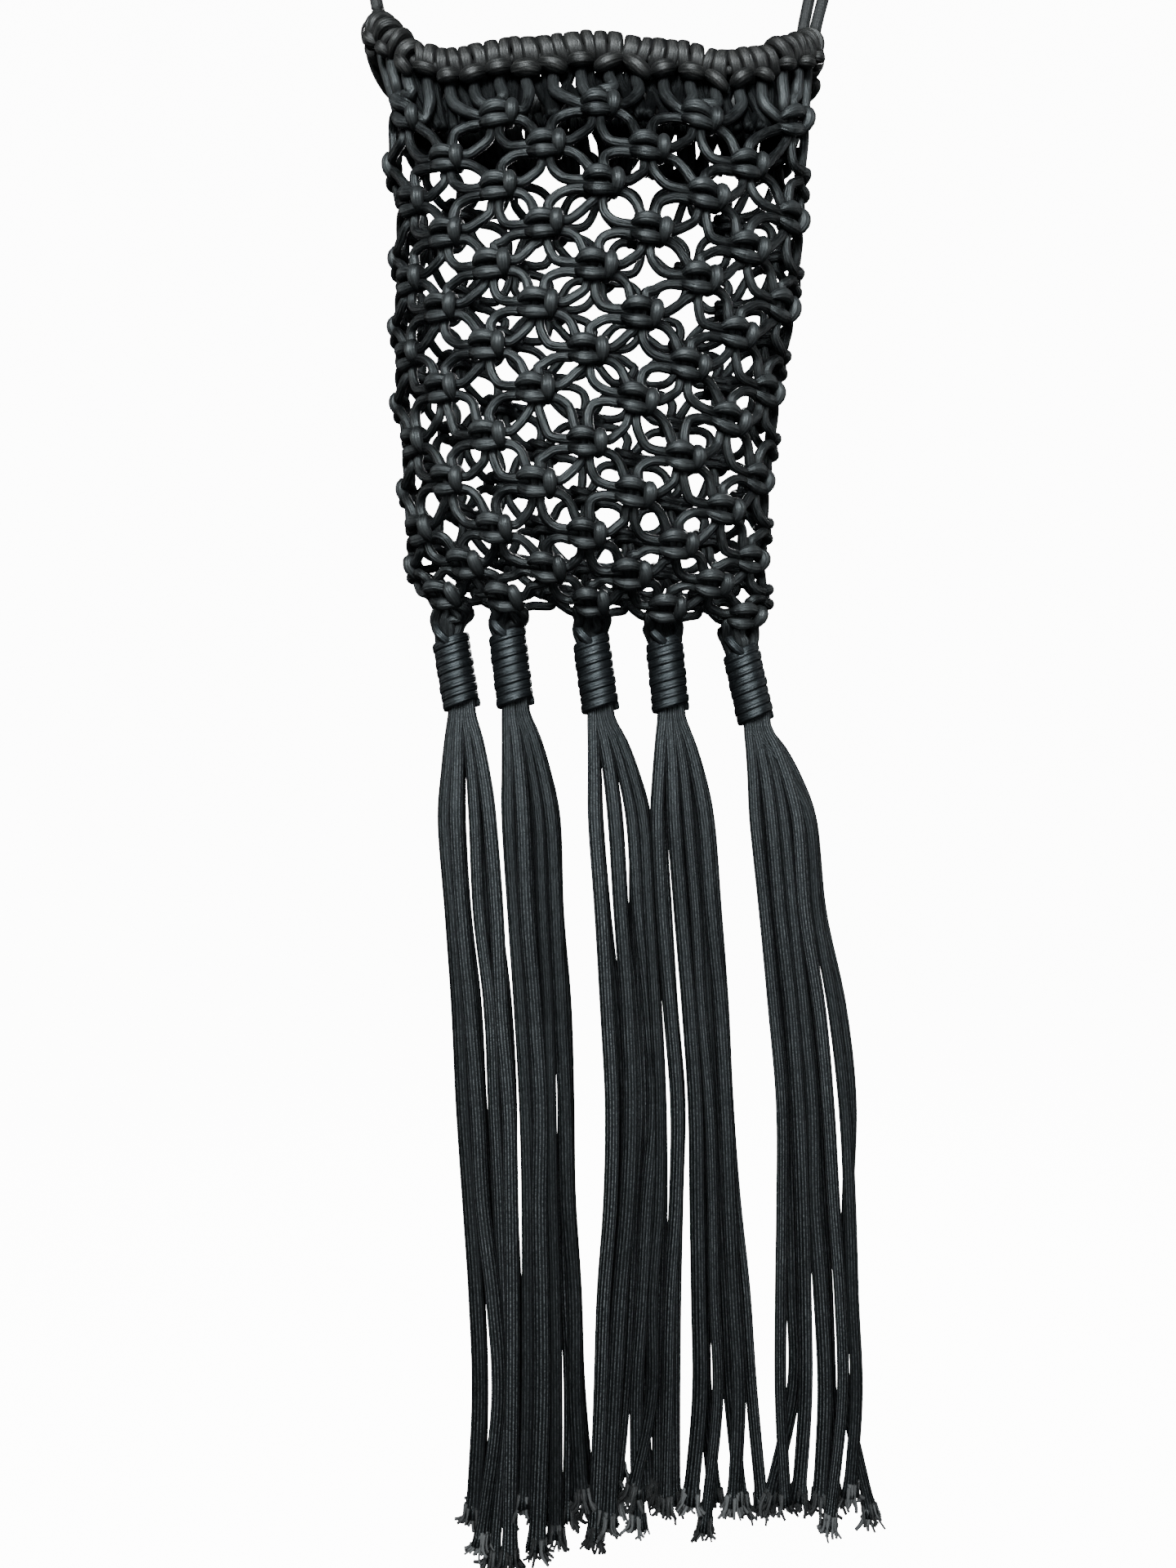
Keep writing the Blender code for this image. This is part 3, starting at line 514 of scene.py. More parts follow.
class Bundle:
    """Cords gathered into one mesh, with a map of place round and along each cord."""

    def __init__(self):
        self.points = []
        self.count = 0
        # Faces of four corners and of three, with their maps and tones
        self.faces = {4: [], 3: []}
        self.maps = {4: [], 3: []}
        self.tones = {4: [], 3: []}

    def add_faces(self, faces, maps, tones):
        corners = faces.shape[-1]
        self.faces[corners].append(faces.reshape(-1, corners))
        self.maps[corners].append(maps.reshape(-1, 2))
        self.tones[corners].append(tones)

    def tube(self, path, thick, wide=None, sides=12, closed=False, normals=None, start=None,
             ribs=0, rib_depth=0.0, tone=0.5, square=0.0):
        """A cord along a path; thick and wide are its half sizes along its normal and across."""
        path = np.asarray(path)[:, :3]
        count = len(path)
        thick = np.broadcast_to(np.asarray(thick, dtype=float), (count,))
        wide = thick if wide is None else np.broadcast_to(np.asarray(wide, dtype=float), (count,))
        ways = path_directions(path, closed)
        if normals is None:
            first_way = FRONT if start is None else start
            if abs(float(np.dot(first_way, ways[0]))) > 0.9:
                first_way = vec(1.0, 0.0, 0.0)
            normals = carried_normals(ways, first_way)
        sideways = np.cross(ways, normals)
        angles = math.tau * np.arange(sides) / sides
        boxy = (np.abs(np.cos(angles)) ** 6 + np.abs(np.sin(angles)) ** 6) ** (-1.0 / 6.0)
        swell = (1.0 + rib_depth * np.cos(ribs * angles)) * blend(1.0, boxy, square)
        across = np.sin(angles) * swell
        outward = np.cos(angles) * swell
        rings = (
            path[:, None, :]
            + normals[:, None, :] * (outward[None, :] * thick[:, None])[:, :, None]
            + sideways[:, None, :] * (across[None, :] * wide[:, None])[:, :, None]
        )
        first = self.count
        self.points.append(rings.reshape(-1, 3))
        self.count += count * sides
        steps = np.linalg.norm(np.diff(path, axis=0), axis=1)
        lengths = np.concatenate([[0.0], np.cumsum(steps)])
        rows = np.arange(count if closed else count - 1)
        after = (rows + 1) % count
        s = np.arange(sides)
        t = (s + 1) % sides
        near = first + rows[:, None] * sides
        far = first + after[:, None] * sides
        quads = np.stack([near + s, near + t, far + t, far + s], axis=-1)
        ahead = np.where(after > rows, lengths[after], lengths[-1] + np.linalg.norm(path[0] - path[-1]))
        maps = np.zeros((len(rows), sides, 4, 2))
        maps[:, :, (0, 3), 0] = (s / sides)[:, None]
        maps[:, :, (1, 2), 0] = ((s + 1) / sides)[:, None]
        maps[:, :, :2, 1] = lengths[rows][:, None, None]
        maps[:, :, 2:, 1] = ahead[:, None, None]
        tones = np.broadcast_to(np.asarray(tone, dtype=float), (count,))
        self.add_faces(quads, maps, np.repeat(tones[rows], sides))
        if not closed:
            self.cap(first, s, t, path[0], 0.0, tones[0], True)
            self.cap(first + (count - 1) * sides, s, t, path[-1], lengths[-1], tones[-1], False)

    def cap(self, first, s, t, centre, along, tone, at_start):
        middle = self.count
        self.points.append(np.array([centre]))
        self.count += 1
        near, far = (t, s) if at_start else (s, t)
        triangles = np.stack([first + near, first + far, np.full(len(s), middle)], axis=-1)
        maps = np.zeros((len(s), 3, 2))
        maps[:, 0, 0] = near / len(s)
        maps[:, 1, 0] = far / len(s)
        maps[:, 2, 0] = s / len(s)
        maps[:, :, 1] = along
        self.add_faces(triangles, maps, np.full(len(s), tone))

    def finish(self, name, node_names, slot_name, material):
        points = np.vstack(self.points)
        kinds = [kind for kind in self.faces if self.faces[kind]]
        faces = [np.vstack(self.faces[kind]) for kind in kinds]
        maps = np.vstack([part for kind in kinds for part in self.maps[kind]])
        tones = np.concatenate([part for kind in kinds for part in self.tones[kind]])
        corners = np.concatenate([part.ravel() for part in faces])
        totals = np.concatenate([np.full(len(part), part.shape[1]) for part in faces])
        starts = np.concatenate([[0], np.cumsum(totals)[:-1]])
        mesh = bpy.data.meshes.new(name)
        mesh.vertices.add(len(points))
        mesh.vertices.foreach_set("co", points.astype(np.float32).ravel())
        mesh.loops.add(len(corners))
        mesh.loops.foreach_set("vertex_index", corners.astype(np.int32))
        mesh.polygons.add(len(totals))
        mesh.polygons.foreach_set("loop_start", starts.astype(np.int32))
        mesh.polygons.foreach_set("loop_total", totals.astype(np.int32))
        mesh.update(calc_edges=True)
        layer = mesh.uv_layers.new(name="cord")
        layer.uv.foreach_set("vector", maps.astype(np.float32).ravel())
        attribute = mesh.attributes.new("tone", "FLOAT", "FACE")
        attribute.data.foreach_set("value", tones.astype(np.float32))
        mesh.shade_smooth()
        mesh.validate()
        mesh.materials.append(material)
        piece = added_object(name, mesh)
        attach(piece, "root")
        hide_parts(*node_names)


# Materials

# The deepest painted shade between cords, how near another cord makes it, and the painted shade in the
# grooves between ribs
PAINTED_CREVICE_SHADE = (0.0003, 0.0003, 0.0004, 1.0)
PAINTED_SHADE_REACH = 0.0035
PAINTED_GROOVE_SHADE = (0.0004, 0.0005, 0.0006, 1.0)
PAINTED_SHADE_SAMPLES = 3
CORD_RELIEF = 0.0006
FLOOR_GLOW = 14.0


class Nodes:
    """Short calls for a material's nodes."""

    def __init__(self, name):
        self.material = bpy.data.materials.new(name)
        self.material.use_nodes = True
        self.tree = self.material.node_tree
        self.shader = self.tree.nodes["Principled BSDF"]

    def put(self, socket, value):
        if isinstance(value, bpy.types.NodeSocket):
            self.tree.links.new(value, socket)
        else:
            socket.default_value = value

    def give(self, name, value):
        """Sets one of the shader's own sockets, or links it."""
        self.put(self.shader.inputs[name], value)

    def math(self, operation, a, b=0.0, c=0.0):
        node = self.tree.nodes.new("ShaderNodeMath")
        node.operation = operation
        for socket, value in zip(node.inputs, (a, b, c)):
            self.put(socket, value)
        return node.outputs[0]

    def times(self, a, b):
        return self.math("MULTIPLY", a, b)

    def combine(self, x, y, z):
        node = self.tree.nodes.new("ShaderNodeCombineXYZ")
        for socket, value in zip(node.inputs, (x, y, z)):
            self.put(socket, value)
        return node.outputs[0]

    def noise(self, vector, scale, detail=2.0, roughness=0.5):
        node = self.tree.nodes.new("ShaderNodeTexNoise")
        node.inputs["Scale"].default_value = scale
        node.inputs["Detail"].default_value = detail
        node.inputs["Roughness"].default_value = roughness
        self.put(node.inputs["Vector"], vector)
        return node.outputs["Fac"]

    def openness_for_painted_shade(self, distance):
        """How open a place is, for the painted shade between cords: 0 deep between cords, 1 on their crowns.
        """
        node = self.tree.nodes.new("ShaderNodeAmbientOcclusion")
        node.samples = PAINTED_SHADE_SAMPLES
        node.inputs["Distance"].default_value = distance
        return node.outputs["AO"]

    def spread(self, value, low, high, to_low=0.0, to_high=1.0):
        node = self.tree.nodes.new("ShaderNodeMapRange")
        node.clamp = True
        for socket, given in zip(node.inputs, (value, low, high, to_low, to_high)):
            self.put(socket, given)
        return node.outputs[0]

    def mix(self, share, low, high):
        node = self.tree.nodes.new("ShaderNodeMix")
        node.data_type = "RGBA"
        self.put(node.inputs[0], share)
        self.put(node.inputs[6], low)
        self.put(node.inputs[7], high)
        return node.outputs[2]

    def bump(self, height, strength, distance):
        node = self.tree.nodes.new("ShaderNodeBump")
        node.inputs["Strength"].default_value = strength
        node.inputs["Distance"].default_value = distance
        self.put(node.inputs["Height"], height)
        self.give("Normal", node.outputs[0])


def cord_height(nodes, around, along, fibres, grain, ribs, braid, rib_height):
    """Bump of a cord's ribs or braid, its fibres and its grain; gives the ribs' own height back."""
    if braid:
        slant = nodes.times(around, 6.0)
        run = nodes.times(along, braid)
        one = nodes.math("SINE", nodes.math("ADD", slant, run))
        other = nodes.math("SINE", nodes.math("SUBTRACT", slant, run))
        pattern = nodes.times(one, other)
    else:
        pattern = nodes.math("COSINE", nodes.times(around, float(ribs)))
    pattern = nodes.spread(pattern, -1.0, 1.0)
    height = nodes.math("MULTIPLY_ADD", pattern, rib_height, fibres)
    height = nodes.math("MULTIPLY_ADD", grain, 0.18, height)
    nodes.bump(height, 0.7, CORD_RELIEF)
    return pattern


def cord_material(name, dark, light, worn, ribs=10, braid=0.0, roughness=0.55, shine=0.4,
                  rib_height=0.25, painted_groove_strength=0.0, tones=0.5, tint=(0.92, 0.98, 1.0)):
    """Cotton cord: ribs or a braid along it, fine fibres, dusty worn crowns, painted shade in the crevices
    and a tone for each cord. Its painted shade in the grooves between its ribs has a strength of its own;
    with it the dust lies on the ribs.
    """
    nodes = Nodes(name)
    place = nodes.tree.nodes.new("ShaderNodeUVMap")
    place.uv_map = "cord"
    split = nodes.tree.nodes.new("ShaderNodeSeparateXYZ")
    nodes.put(split.inputs[0], place.outputs[0])
    around = nodes.times(split.outputs[0], math.tau)
    along = split.outputs[1]
    tone = nodes.tree.nodes.new("ShaderNodeAttribute")
    tone.attribute_name = "tone"
    where = nodes.tree.nodes.new("ShaderNodeTexCoord").outputs["Object"]
    ring_x = nodes.times(nodes.math("COSINE", around), 3.2)
    ring_y = nodes.times(nodes.math("SINE", around), 3.2)
    fibres = nodes.noise(nodes.combine(ring_x, ring_y, nodes.times(along, 230.0)), 1.0, 4.0, 0.62)
    grain = nodes.noise(where, 2600.0, 2.0, 0.6)
    patches = nodes.noise(where, 70.0, 3.0, 0.55)
    pattern = cord_height(nodes, around, along, fibres, grain, ribs, braid, rib_height)
    shade = nodes.math("MULTIPLY_ADD", patches, 0.9, nodes.times(tone.outputs["Fac"], tones))
    shade = nodes.math("MULTIPLY_ADD", fibres, 1.1, shade)
    base = nodes.mix(nodes.spread(shade, 0.85, 1.55), (*dark, 1.0), (*light, 1.0))
    if painted_groove_strength:
        crowns = nodes.spread(pattern, 0.55, 0.95)
        stitches = nodes.noise(nodes.combine(ring_x, ring_y, nodes.times(along, 1100.0)), 1.6, 2.0, 0.6)
        dust = nodes.times(nodes.spread(stitches, 0.42, 0.64, 0.08, 1.0), crowns)
        dust = nodes.times(dust, nodes.spread(shade, 0.9, 2.4, 0.2, 1.3))
        # Painted shade: the grooves between the ribs go near black
        base = nodes.mix(nodes.times(nodes.math("SUBTRACT", 1.0, crowns), painted_groove_strength), base, PAINTED_GROOVE_SHADE)
    else:
        streaks = nodes.spread(fibres, 0.52, 0.70)
        dust = nodes.times(nodes.spread(grain, 0.42, 0.66), streaks)
    base = nodes.mix(nodes.times(dust, 0.7), base, (*worn, 1.0))
    # Painted shade: the base colour goes near black where other cords come near, and the gloss gets rougher
    # there
    painted_shade_open = nodes.spread(nodes.openness_for_painted_shade(PAINTED_SHADE_REACH), 0.35, 0.85)
    nodes.give("Base Color", nodes.mix(painted_shade_open, PAINTED_CREVICE_SHADE, base))
    rough = nodes.spread(fibres, 0.3, 0.7, roughness - 0.10, roughness + 0.14)
    rough = nodes.math("ADD", rough, nodes.spread(painted_shade_open, 0.0, 0.8, 0.35, 0.0))
    nodes.give("Roughness", rough)
    nodes.give("Specular IOR Level", shine)
    nodes.give("Specular Tint", (*tint, 1.0))
    return nodes.material


def wire_material(name):
    nodes = Nodes(name)
    where = nodes.tree.nodes.new("ShaderNodeTexCoord").outputs["Object"]
    wear = nodes.noise(where, 900.0, 3.0, 0.6)
    bare = nodes.spread(wear, 0.55, 0.75)
    base = nodes.mix(bare, (0.008, 0.008, 0.009, 1.0), (0.06, 0.06, 0.058, 1.0))
    nodes.give("Base Color", base)
    nodes.give("Roughness", nodes.spread(wear, 0.3, 0.7, 0.20, 0.38))
    nodes.give("Metallic", 0.85)
    nodes.bump(wear, 0.2, 0.00005)
    return nodes.material


def floor_material():
    nodes = Nodes("pale_floor")
    where = nodes.tree.nodes.new("ShaderNodeTexCoord").outputs["Object"]
    cloud = nodes.noise(where, 1.5, 2.0, 0.5)
    base = nodes.mix(cloud, (0.86, 0.865, 0.86, 1.0), (0.90, 0.90, 0.885, 1.0))
    nodes.give("Base Color", base)
    nodes.give("Emission Color", base)
    nodes.give("Emission Strength", FLOOR_GLOW)
    nodes.give("Roughness", 0.9)
    nodes.give("Specular IOR Level", 0.1)
    return nodes.material


# The net


def knots_cords():
    """For each row and knot, which cord of the rim takes each of the four roles, traced from the top down."""
    rows = [[tuple(range(CORDS_PER_KNOT * k, CORDS_PER_KNOT * (k + 1))) for k in range(KNOTS_ROUND)]]
    for row in range(2, LAST_ROW + 1):
        above = rows[-1]
        made = []
        for k in range(KNOTS_ROUND):
            left = above[k] if row % 2 == 0 else above[k - 1]
            right = above[(k + 1) % KNOTS_ROUND] if row % 2 == 0 else above[k]
            made.append((left[2], left[3], right[0], right[1]))
        rows.append(made)
    return rows


def hitch_turn(cord):
    """Where a cord hangs from the rim; the hitches close up to leave the rim's ends bare for the rings."""
    turn = (cord - (CORDS_PER_KNOT - 1) / 2) / CORDS_PER_KNOT
    half = KNOTS_ROUND / 2
    middle = round(turn / half) * half
    share = (turn - middle) / (half / 2)
    wide = HITCH_STRETCH * math.sin(math.pi * share)
    return middle + half / 2 * share * (1.0 - HITCH_GATHER * abs(share) ** 3) + wide


def knot_place(row, turn, tilt, grow, point):
    """Place of a knot's point on the bag, with the cord's radius as a fourth number."""
    step = row_step(row - 1) if point.z > 0 else row_step(row)
    room = (pitch(row) / 2 / MM - KNOT_CORE) / (USUAL_PITCH / 2 / MM - KNOT_CORE)
    short = min(1.0, step / USUAL_STEP)
    x = point.x * grow
    z = point.z * grow
    if abs(point.x) > KNOT_CORE:
        leg = (abs(point.x) - KNOT_CORE) * min(LEG_STRETCH, room)
        x = math.copysign(KNOT_CORE * grow + leg, point.x)
        z = point.z * short
    elif abs(point.z) > KNOT_REACH:
        z = point.z * short**CORE_SHORTEN
    turned_x = x * math.cos(tilt) - z * math.sin(tilt)
    turned_z = x * math.sin(tilt) + z * math.cos(tilt)
    front = abs(row_place(row, turn)[1][1])
    out = point.y * KNOT_DEPTH * blend(SIDE_DEPTH, 1.0, front)
    if abs(point.x) > KNOT_CORE:
        out += SIDE_BULGE * (1.0 - front)
    place = net_point(row - turned_z * MM / step, turn + turned_x * MM / pitch(row), out * MM)
    thin = LEG_THIN if abs(turned_x) > KNOT_CORE or point.z < -KNOT_REACH else 1.0
    return [*place, point.radius * thin * MM]


def knot_points(row, role):
    """A cord's points in a knot, without the leg from a knot above the first row or to one below the last."""
    points = ROLES[role]
    if role in NECK_TURNS and row == 1:
        points = points[2:]
    if role in NECK_TURNS and row == LAST_ROW:
        points = [*points[:-3], NECK_TURNS[role]]
    return points


def net_routes():
    """The route of each of the net's cords, from its hitch on the rim down into its tassel's binding."""
    rng = random.Random(SEED)
    roles = knots_cords()
    routes = []
    for cord in range(HITCHES):
        turn = hitch_turn(cord)
        hitch = rim_line(turn)[0] - UP * HITCH_DROP
        high = net_point(0.1, turn, HITCH_OUT)
        low = net_point(0.45, turn + rng.uniform(-0.02, 0.02), HITCH_OUT)
        routes.append([[*hitch, 2.2 * MM], [*high, 2.4 * MM], [*low, 2.4 * MM]])
    for row in range(1, LAST_ROW + 1):
        for knot, turn in enumerate(knot_turns(row)):
            tilt = rng.uniform(-KNOT_TILT, KNOT_TILT)
            size = (pitch(row) / USUAL_PITCH) ** 0.35 * (1.0 + rng.uniform(-KNOT_GROW, KNOT_GROW))
            shift = rng.uniform(-KNOT_WANDER, KNOT_WANDER) * MM / pitch(row)
            for role, cord in enumerate(roles[row - 1][knot]):
                for point in knot_points(row, role):
                    routes[cord].append(knot_place(row, turn + shift, tilt, size, point))
    add_necks(routes, roles[-1])
    return routes


def add_necks(routes, bottom_knots):
    """Below the bottom knots, front and back cords run together into the tassel's binding."""
    middle = len(TASSELS) // 2
    order = TASSELS[middle:] + TASSELS[::-1] + TASSELS[:middle]
    for knot, (tassel, cords) in enumerate(zip(order, bottom_knots)):
        behind = len(TASSELS) - middle <= knot < KNOTS_ROUND - middle
        side = 1.0 if behind else -1.0
        for role, cord in enumerate(cords):
            across = (role - (CORDS_PER_KNOT - 1) / 2) * NECK_SPACING * -side
            outer = 1.0 if role in NECK_TURNS else 0.0
            for p in NECK_POINTS:
                out = side * (p.out - p.outer_out * outer)
                place = binding_top(tassel) + vec(across * (p.share + p.outer_share * outer), out, p.z) * MM
                routes[cord].append([*place, p.radius * MM])


def make_net(material):
    rng = random.Random(SEED + 1)
    halves = [Bundle(), Bundle()]
    for cord, route in enumerate(net_routes()):
        path = smooth_path(route, NET_STEP)
        wear = np.clip((path[:, 3] / MM - LEG_RADIUS) / WORN_SWELL, 0.0, 1.0)
        tones = rng.uniform(-0.35, 0.15) + wear * WORN_KNOT
        halves[cord * 2 // HITCHES].tube(path, path[:, 3], sides=12, tone=tones)
    for bundle, name in zip(halves, ("net_cords_right", "net_cords_left")):
        bundle.finish(name, ["net"], "net_cord", material)


def make_band(material):
    """The cord ends that run behind the hitches, down to the first knots."""
    rng = random.Random(SEED + 3)
    bundle = Bundle()
    for cord in range(HITCHES):
        turn = hitch_turn(cord)
        for side in (-1.0, 0.0, 1.0):
            place, _, facing = rim_line(turn + side * 0.07)
            lean = side * rng.uniform(0.02, 0.22) + rng.uniform(-0.10, 0.10)
            points = [place - (facing * 1.5 + UP * 4.5) * MM]
            for p in BAND_POINTS:
                out = rng.uniform(p.deepest, p.shallowest) * MM
                points.append(net_point(p.row, turn + side * 0.08 + lean * p.lean, out))
            path = smooth_path(points, 3.0 * MM)
            bundle.tube(path, rng.uniform(2.0, 2.4) * MM, sides=10, tone=rng.random())
    # Their material is the net's cord darkened with painted shade
    bundle.finish("band_cords", ["net"], "net_cord", material)


# The rim

# The bar of cord under a hitch: places along the rim and out from it, heights and radii
RimPoint = namedtuple("RimPoint", "along out z radius")
BAR_UNDER_RIM = rows_of(
    RimPoint,
    (-4.3, 2.2, -5.4, 1.3),
    (-3.4, 4.0, -5.9, 2.3),
    (-1.2, 5.2, -6.2, 2.8),
    (1.4, 5.2, -6.3, 2.8),
    (3.6, 4.0, -6.2, 2.3),
    (4.4, 2.2, -6.0, 1.3),
)
WRAP_HALF_THICK = 0.0021
WRAP_STEPS = 22
CORE_POINTS = 120
# The bump between two hitches: its angle below the rim's front, how far out it lies, and its points'
# places and radii
BUMP_ANGLE = -38.0
BUMP_OUT = 5.0
BUMP_PLACES = [-1.7, -1.2, 0.0, 1.2, 1.7]
BUMP_RADII = [0.5, 1.2, 1.6, 1.2, 0.5]


def make_rim(material):
    """The rim's core cord with two turns, a bump and a bar of cord for each hitch."""
    rng = random.Random(SEED + 2)
    bundle = Bundle()
    core = [rim_line(KNOTS_ROUND * i / CORE_POINTS)[0] for i in range(CORE_POINTS)]
    core_path = smooth_path(core, 3.0 * MM, closed=True)
    bundle.tube(core_path, RIM_CORE / 2, sides=12, closed=True, start=UP, tone=0.3)
    for cord in range(HITCHES):
        turn = hitch_turn(cord)
        room = hitch_turn(cord + 0.5) - hitch_turn(cord - 0.5)
        lean = rng.uniform(-1.5, 0.9) * MM
        share = rng.uniform(0.37, 0.63)
        wrap_of(bundle, rng, turn - room * (1.0 - share) / 2, room * share * pitch(0), lean)
        lean += rng.uniform(-0.4, 0.4) * MM
        wrap_of(bundle, rng, turn + room * share / 2, room * (1.0 - share) * pitch(0), lean)
        bump_of(bundle, rng, turn - room / 2)
        bar_of(bundle, rng, turn + rng.uniform(-0.01, 0.01), room * CORDS_PER_KNOT)
    bundle.finish("rim_hitches", ["rim"], "rim_cord", material)


def wrap_of(bundle, rng, turn, width, lean):
    """One turn of cord round the rim's core."""
    place, along, facing = rim_line(turn)
    up = unit(np.cross(along, facing))
    if up[2] < 0:
        up = -up
    radius = RIM_CORE / 2 + WRAP_HALF_THICK + rng.uniform(-0.35, 0.25) * MM
    sag = rng.uniform(-0.8, 0.8) * MM
    angles = math.tau * np.arange(WRAP_STEPS)[:, None] / WRAP_STEPS
    outward = turned(facing, up, angles)
    path = place + outward * radius + along * (lean * np.sin(angles) + sag * np.cos(2.0 * angles))
    thick = WRAP_HALF_THICK * rng.uniform(0.94, 1.08)
    bundle.tube(path, thick, width / 2 * rng.uniform(1.03, 1.10), sides=16, closed=True,
                normals=outward, tone=rng.random(), square=0.6)


def bump_of(bundle, rng, turn):
    """The small end of cord that shows low between two hitches."""
    place, along, facing = rim_line(turn)
    outward = turned(facing, UP, math.radians(BUMP_ANGLE + rng.uniform(-8.0, 8.0)))
    across = unit(np.cross(along, outward))
    path = [place + (outward * BUMP_OUT + across * a) * MM for a in BUMP_PLACES]
    bundle.tube(path, np.array(BUMP_RADII) * MM, sides=10, tone=rng.random())


def bar_of(bundle, rng, turn, width):
    """The short bar of cord under a hitch."""
    place, along, facing = rim_line(turn)
    slant = rng.uniform(-0.25, 0.25)
    if rng.random() < 0.3:
        slant = rng.choice((-1.0, 1.0)) * rng.uniform(0.3, 0.6)
    length = rng.uniform(0.72, 1.04)
    size = rng.uniform(0.80, 1.06)
    rise = rng.uniform(-1.3, 1.1)
    points = []
    for p in BAR_UNDER_RIM:
        across = p.along * width * length
        shift = along * across + facing * p.out + UP * (p.z + rise + slant * across)
        points.append([*(place + shift * MM), p.radius * size * MM])
    path = smooth_path(points, 0.8 * MM)
    wide = path[:, 3] * rng.uniform(0.9, 1.1)
    bundle.tube(path, path[:, 3], wide, sides=12, tone=rng.random(), square=0.45)


# Bindings and fringe

BINDING_TURNS = 8
BINDING_STEPS = 28
BINDING_HALF_THICK = 0.0014
BINDING_SLOPE = 0.13
BINDING_UNEVEN = 0.025
# The cord's end that dips in at a binding's top: x, y and z from there
BINDING_LOOP = [
    (-5.4, -4.4, 3.2), (-4.6, -6.2, 1.6), (-3.0, -7.2, -0.6), (-0.8, -6.6, -2.4), (1.0, -5.0, -3.4),
]
BINDING_LOOP_RADIUS = 1.9

# Strands in one layer of a binding, the step along them, and their ribs
STRANDS_ABREAST = 4
STRAND_STEP = 4.0 * MM
STRAND_RIBS = 14
STRAND_RIB_DEPTH = 0.016
# Below its binding a strand bends to its shoulder: share of the way down, share of the way across
SHOULDER_BEND = [(0.25, 0.36), (0.6, 0.72)]
# Half width and half thickness of a strand, in the binding and opened out; the share of its length over which
# it opens, how much wider it gets down to its end, and from where and how far its end flares
STRAND_WIDE = (2.15, 2.65)
STRAND_THICK = (1.90, 2.05)
STRAND_OPENS = 0.14
STRAND_WIDENS = 0.45
FLARE_FROM = 0.972
FLARE = 0.38
# The frayed end: its yarns, their radius at both ends, and the share of tufts that are pale
YARNS = 32
YARN_RADIUS = (0.80, 0.55)
PALE_TUFTS = 0.3


def binding_place(tassel, drop):
    """A point on the leaning binding's middle line, at a drop below its solid's top."""
    return binding_top(tassel) + vec(tassel.tilt * drop, 0.0, -drop)


def binding_foot(tassel):
    return binding_place(tassel, BINDING_LENGTH + tassel.below * MM)


def make_binding(number, tassel, material):
    """Flat turns of cord, laid edge to edge round the strands, and the loop end that dips in at the top."""
    rng = random.Random(SEED + 20 + number)
    bundle = Bundle()
    top = binding_place(tassel, -tassel.above * MM)
    foot = binding_foot(tassel)
    length = float(np.linalg.norm(foot - top))
    axis = unit(foot - top)
    side_way = unit(np.cross(axis, -FRONT))
    half_high = length / BINDING_TURNS / 2
    radius = BINDING_RADIUS - BINDING_HALF_THICK
    shares = np.linspace(0.0, 1.0, BINDING_TURNS * BINDING_STEPS + 1)[:, None]
    angles = math.tau * BINDING_TURNS * shares
    outward = turned(side_way, FRONT, angles)
    slope = np.cos(angles) * BINDING_SLOPE * radius * (-1.0 if side_way[0] > 0 else 1.0)
    bulge = 1.0 + BINDING_UNEVEN * np.sin(angles * 0.37 + number)
    run = half_high + (length - 2 * half_high) * shares
    path = top + axis * (run + slope) + outward * radius * bulge
    bundle.tube(path, BINDING_HALF_THICK, half_high * 0.99, sides=14, normals=outward,
                tone=rng.random(), square=0.75)
    end = smooth_path([top + vec(*place) * MM for place in BINDING_LOOP], 1.0 * MM)
    bundle.tube(end, BINDING_LOOP_RADIUS * MM, sides=12, tone=rng.random())
    name = f"tassel_binding_cord_{number}"
    bundle.finish(name, [f"tassel_binding_{number}"], "binding_cord", material)


def strand_route(rng, foot, order, strand):
    """A strand's route, from inside its binding over its shoulder down to its end."""
    place = (order % STRANDS_ABREAST / (STRANDS_ABREAST - 1)) * 2.0 - 1.0
    side = -1.0 if strand.depth < 0 else 1.0
    shoulder = vec(strand.shoulder * MM, strand.depth * MM, STRAND_HEIGHTS[0])
    leaving = foot + vec(place * 3.4, side * 2.1, -1.0) * MM
    points = [foot + vec(place * 3.0, side * 2.0, 9.0) * MM, leaving]
    for share, bend in SHOULDER_BEND:
        point = blend(leaving, shoulder, share)
        point[0] = blend(leaving[0], shoulder[0], bend)
        points.append(point)
    points.append(shoulder)
    middle = vec(strand.middle * MM, strand.depth * 1.2 * MM, STRAND_HEIGHTS[1])
    low = vec(strand.low * MM, strand.depth * 1.3 * MM, STRAND_HEIGHTS[2])
    for last, station in ((shoulder, middle), (middle, low)):
        for share in (1 / 3, 2 / 3):
            point = blend(last, station, share)
            point[0] = blend(last[0], station[0], (smooth_share(share) + share) / 2)
            points.append(point + vec(rng.uniform(-0.8, 0.8), rng.uniform(-0.9, 0.9), 0.0) * MM)
        points.append(station)
    points.append(vec(strand.end * MM, strand.depth * 1.3 * MM, strand.end_z * MM))
    return points


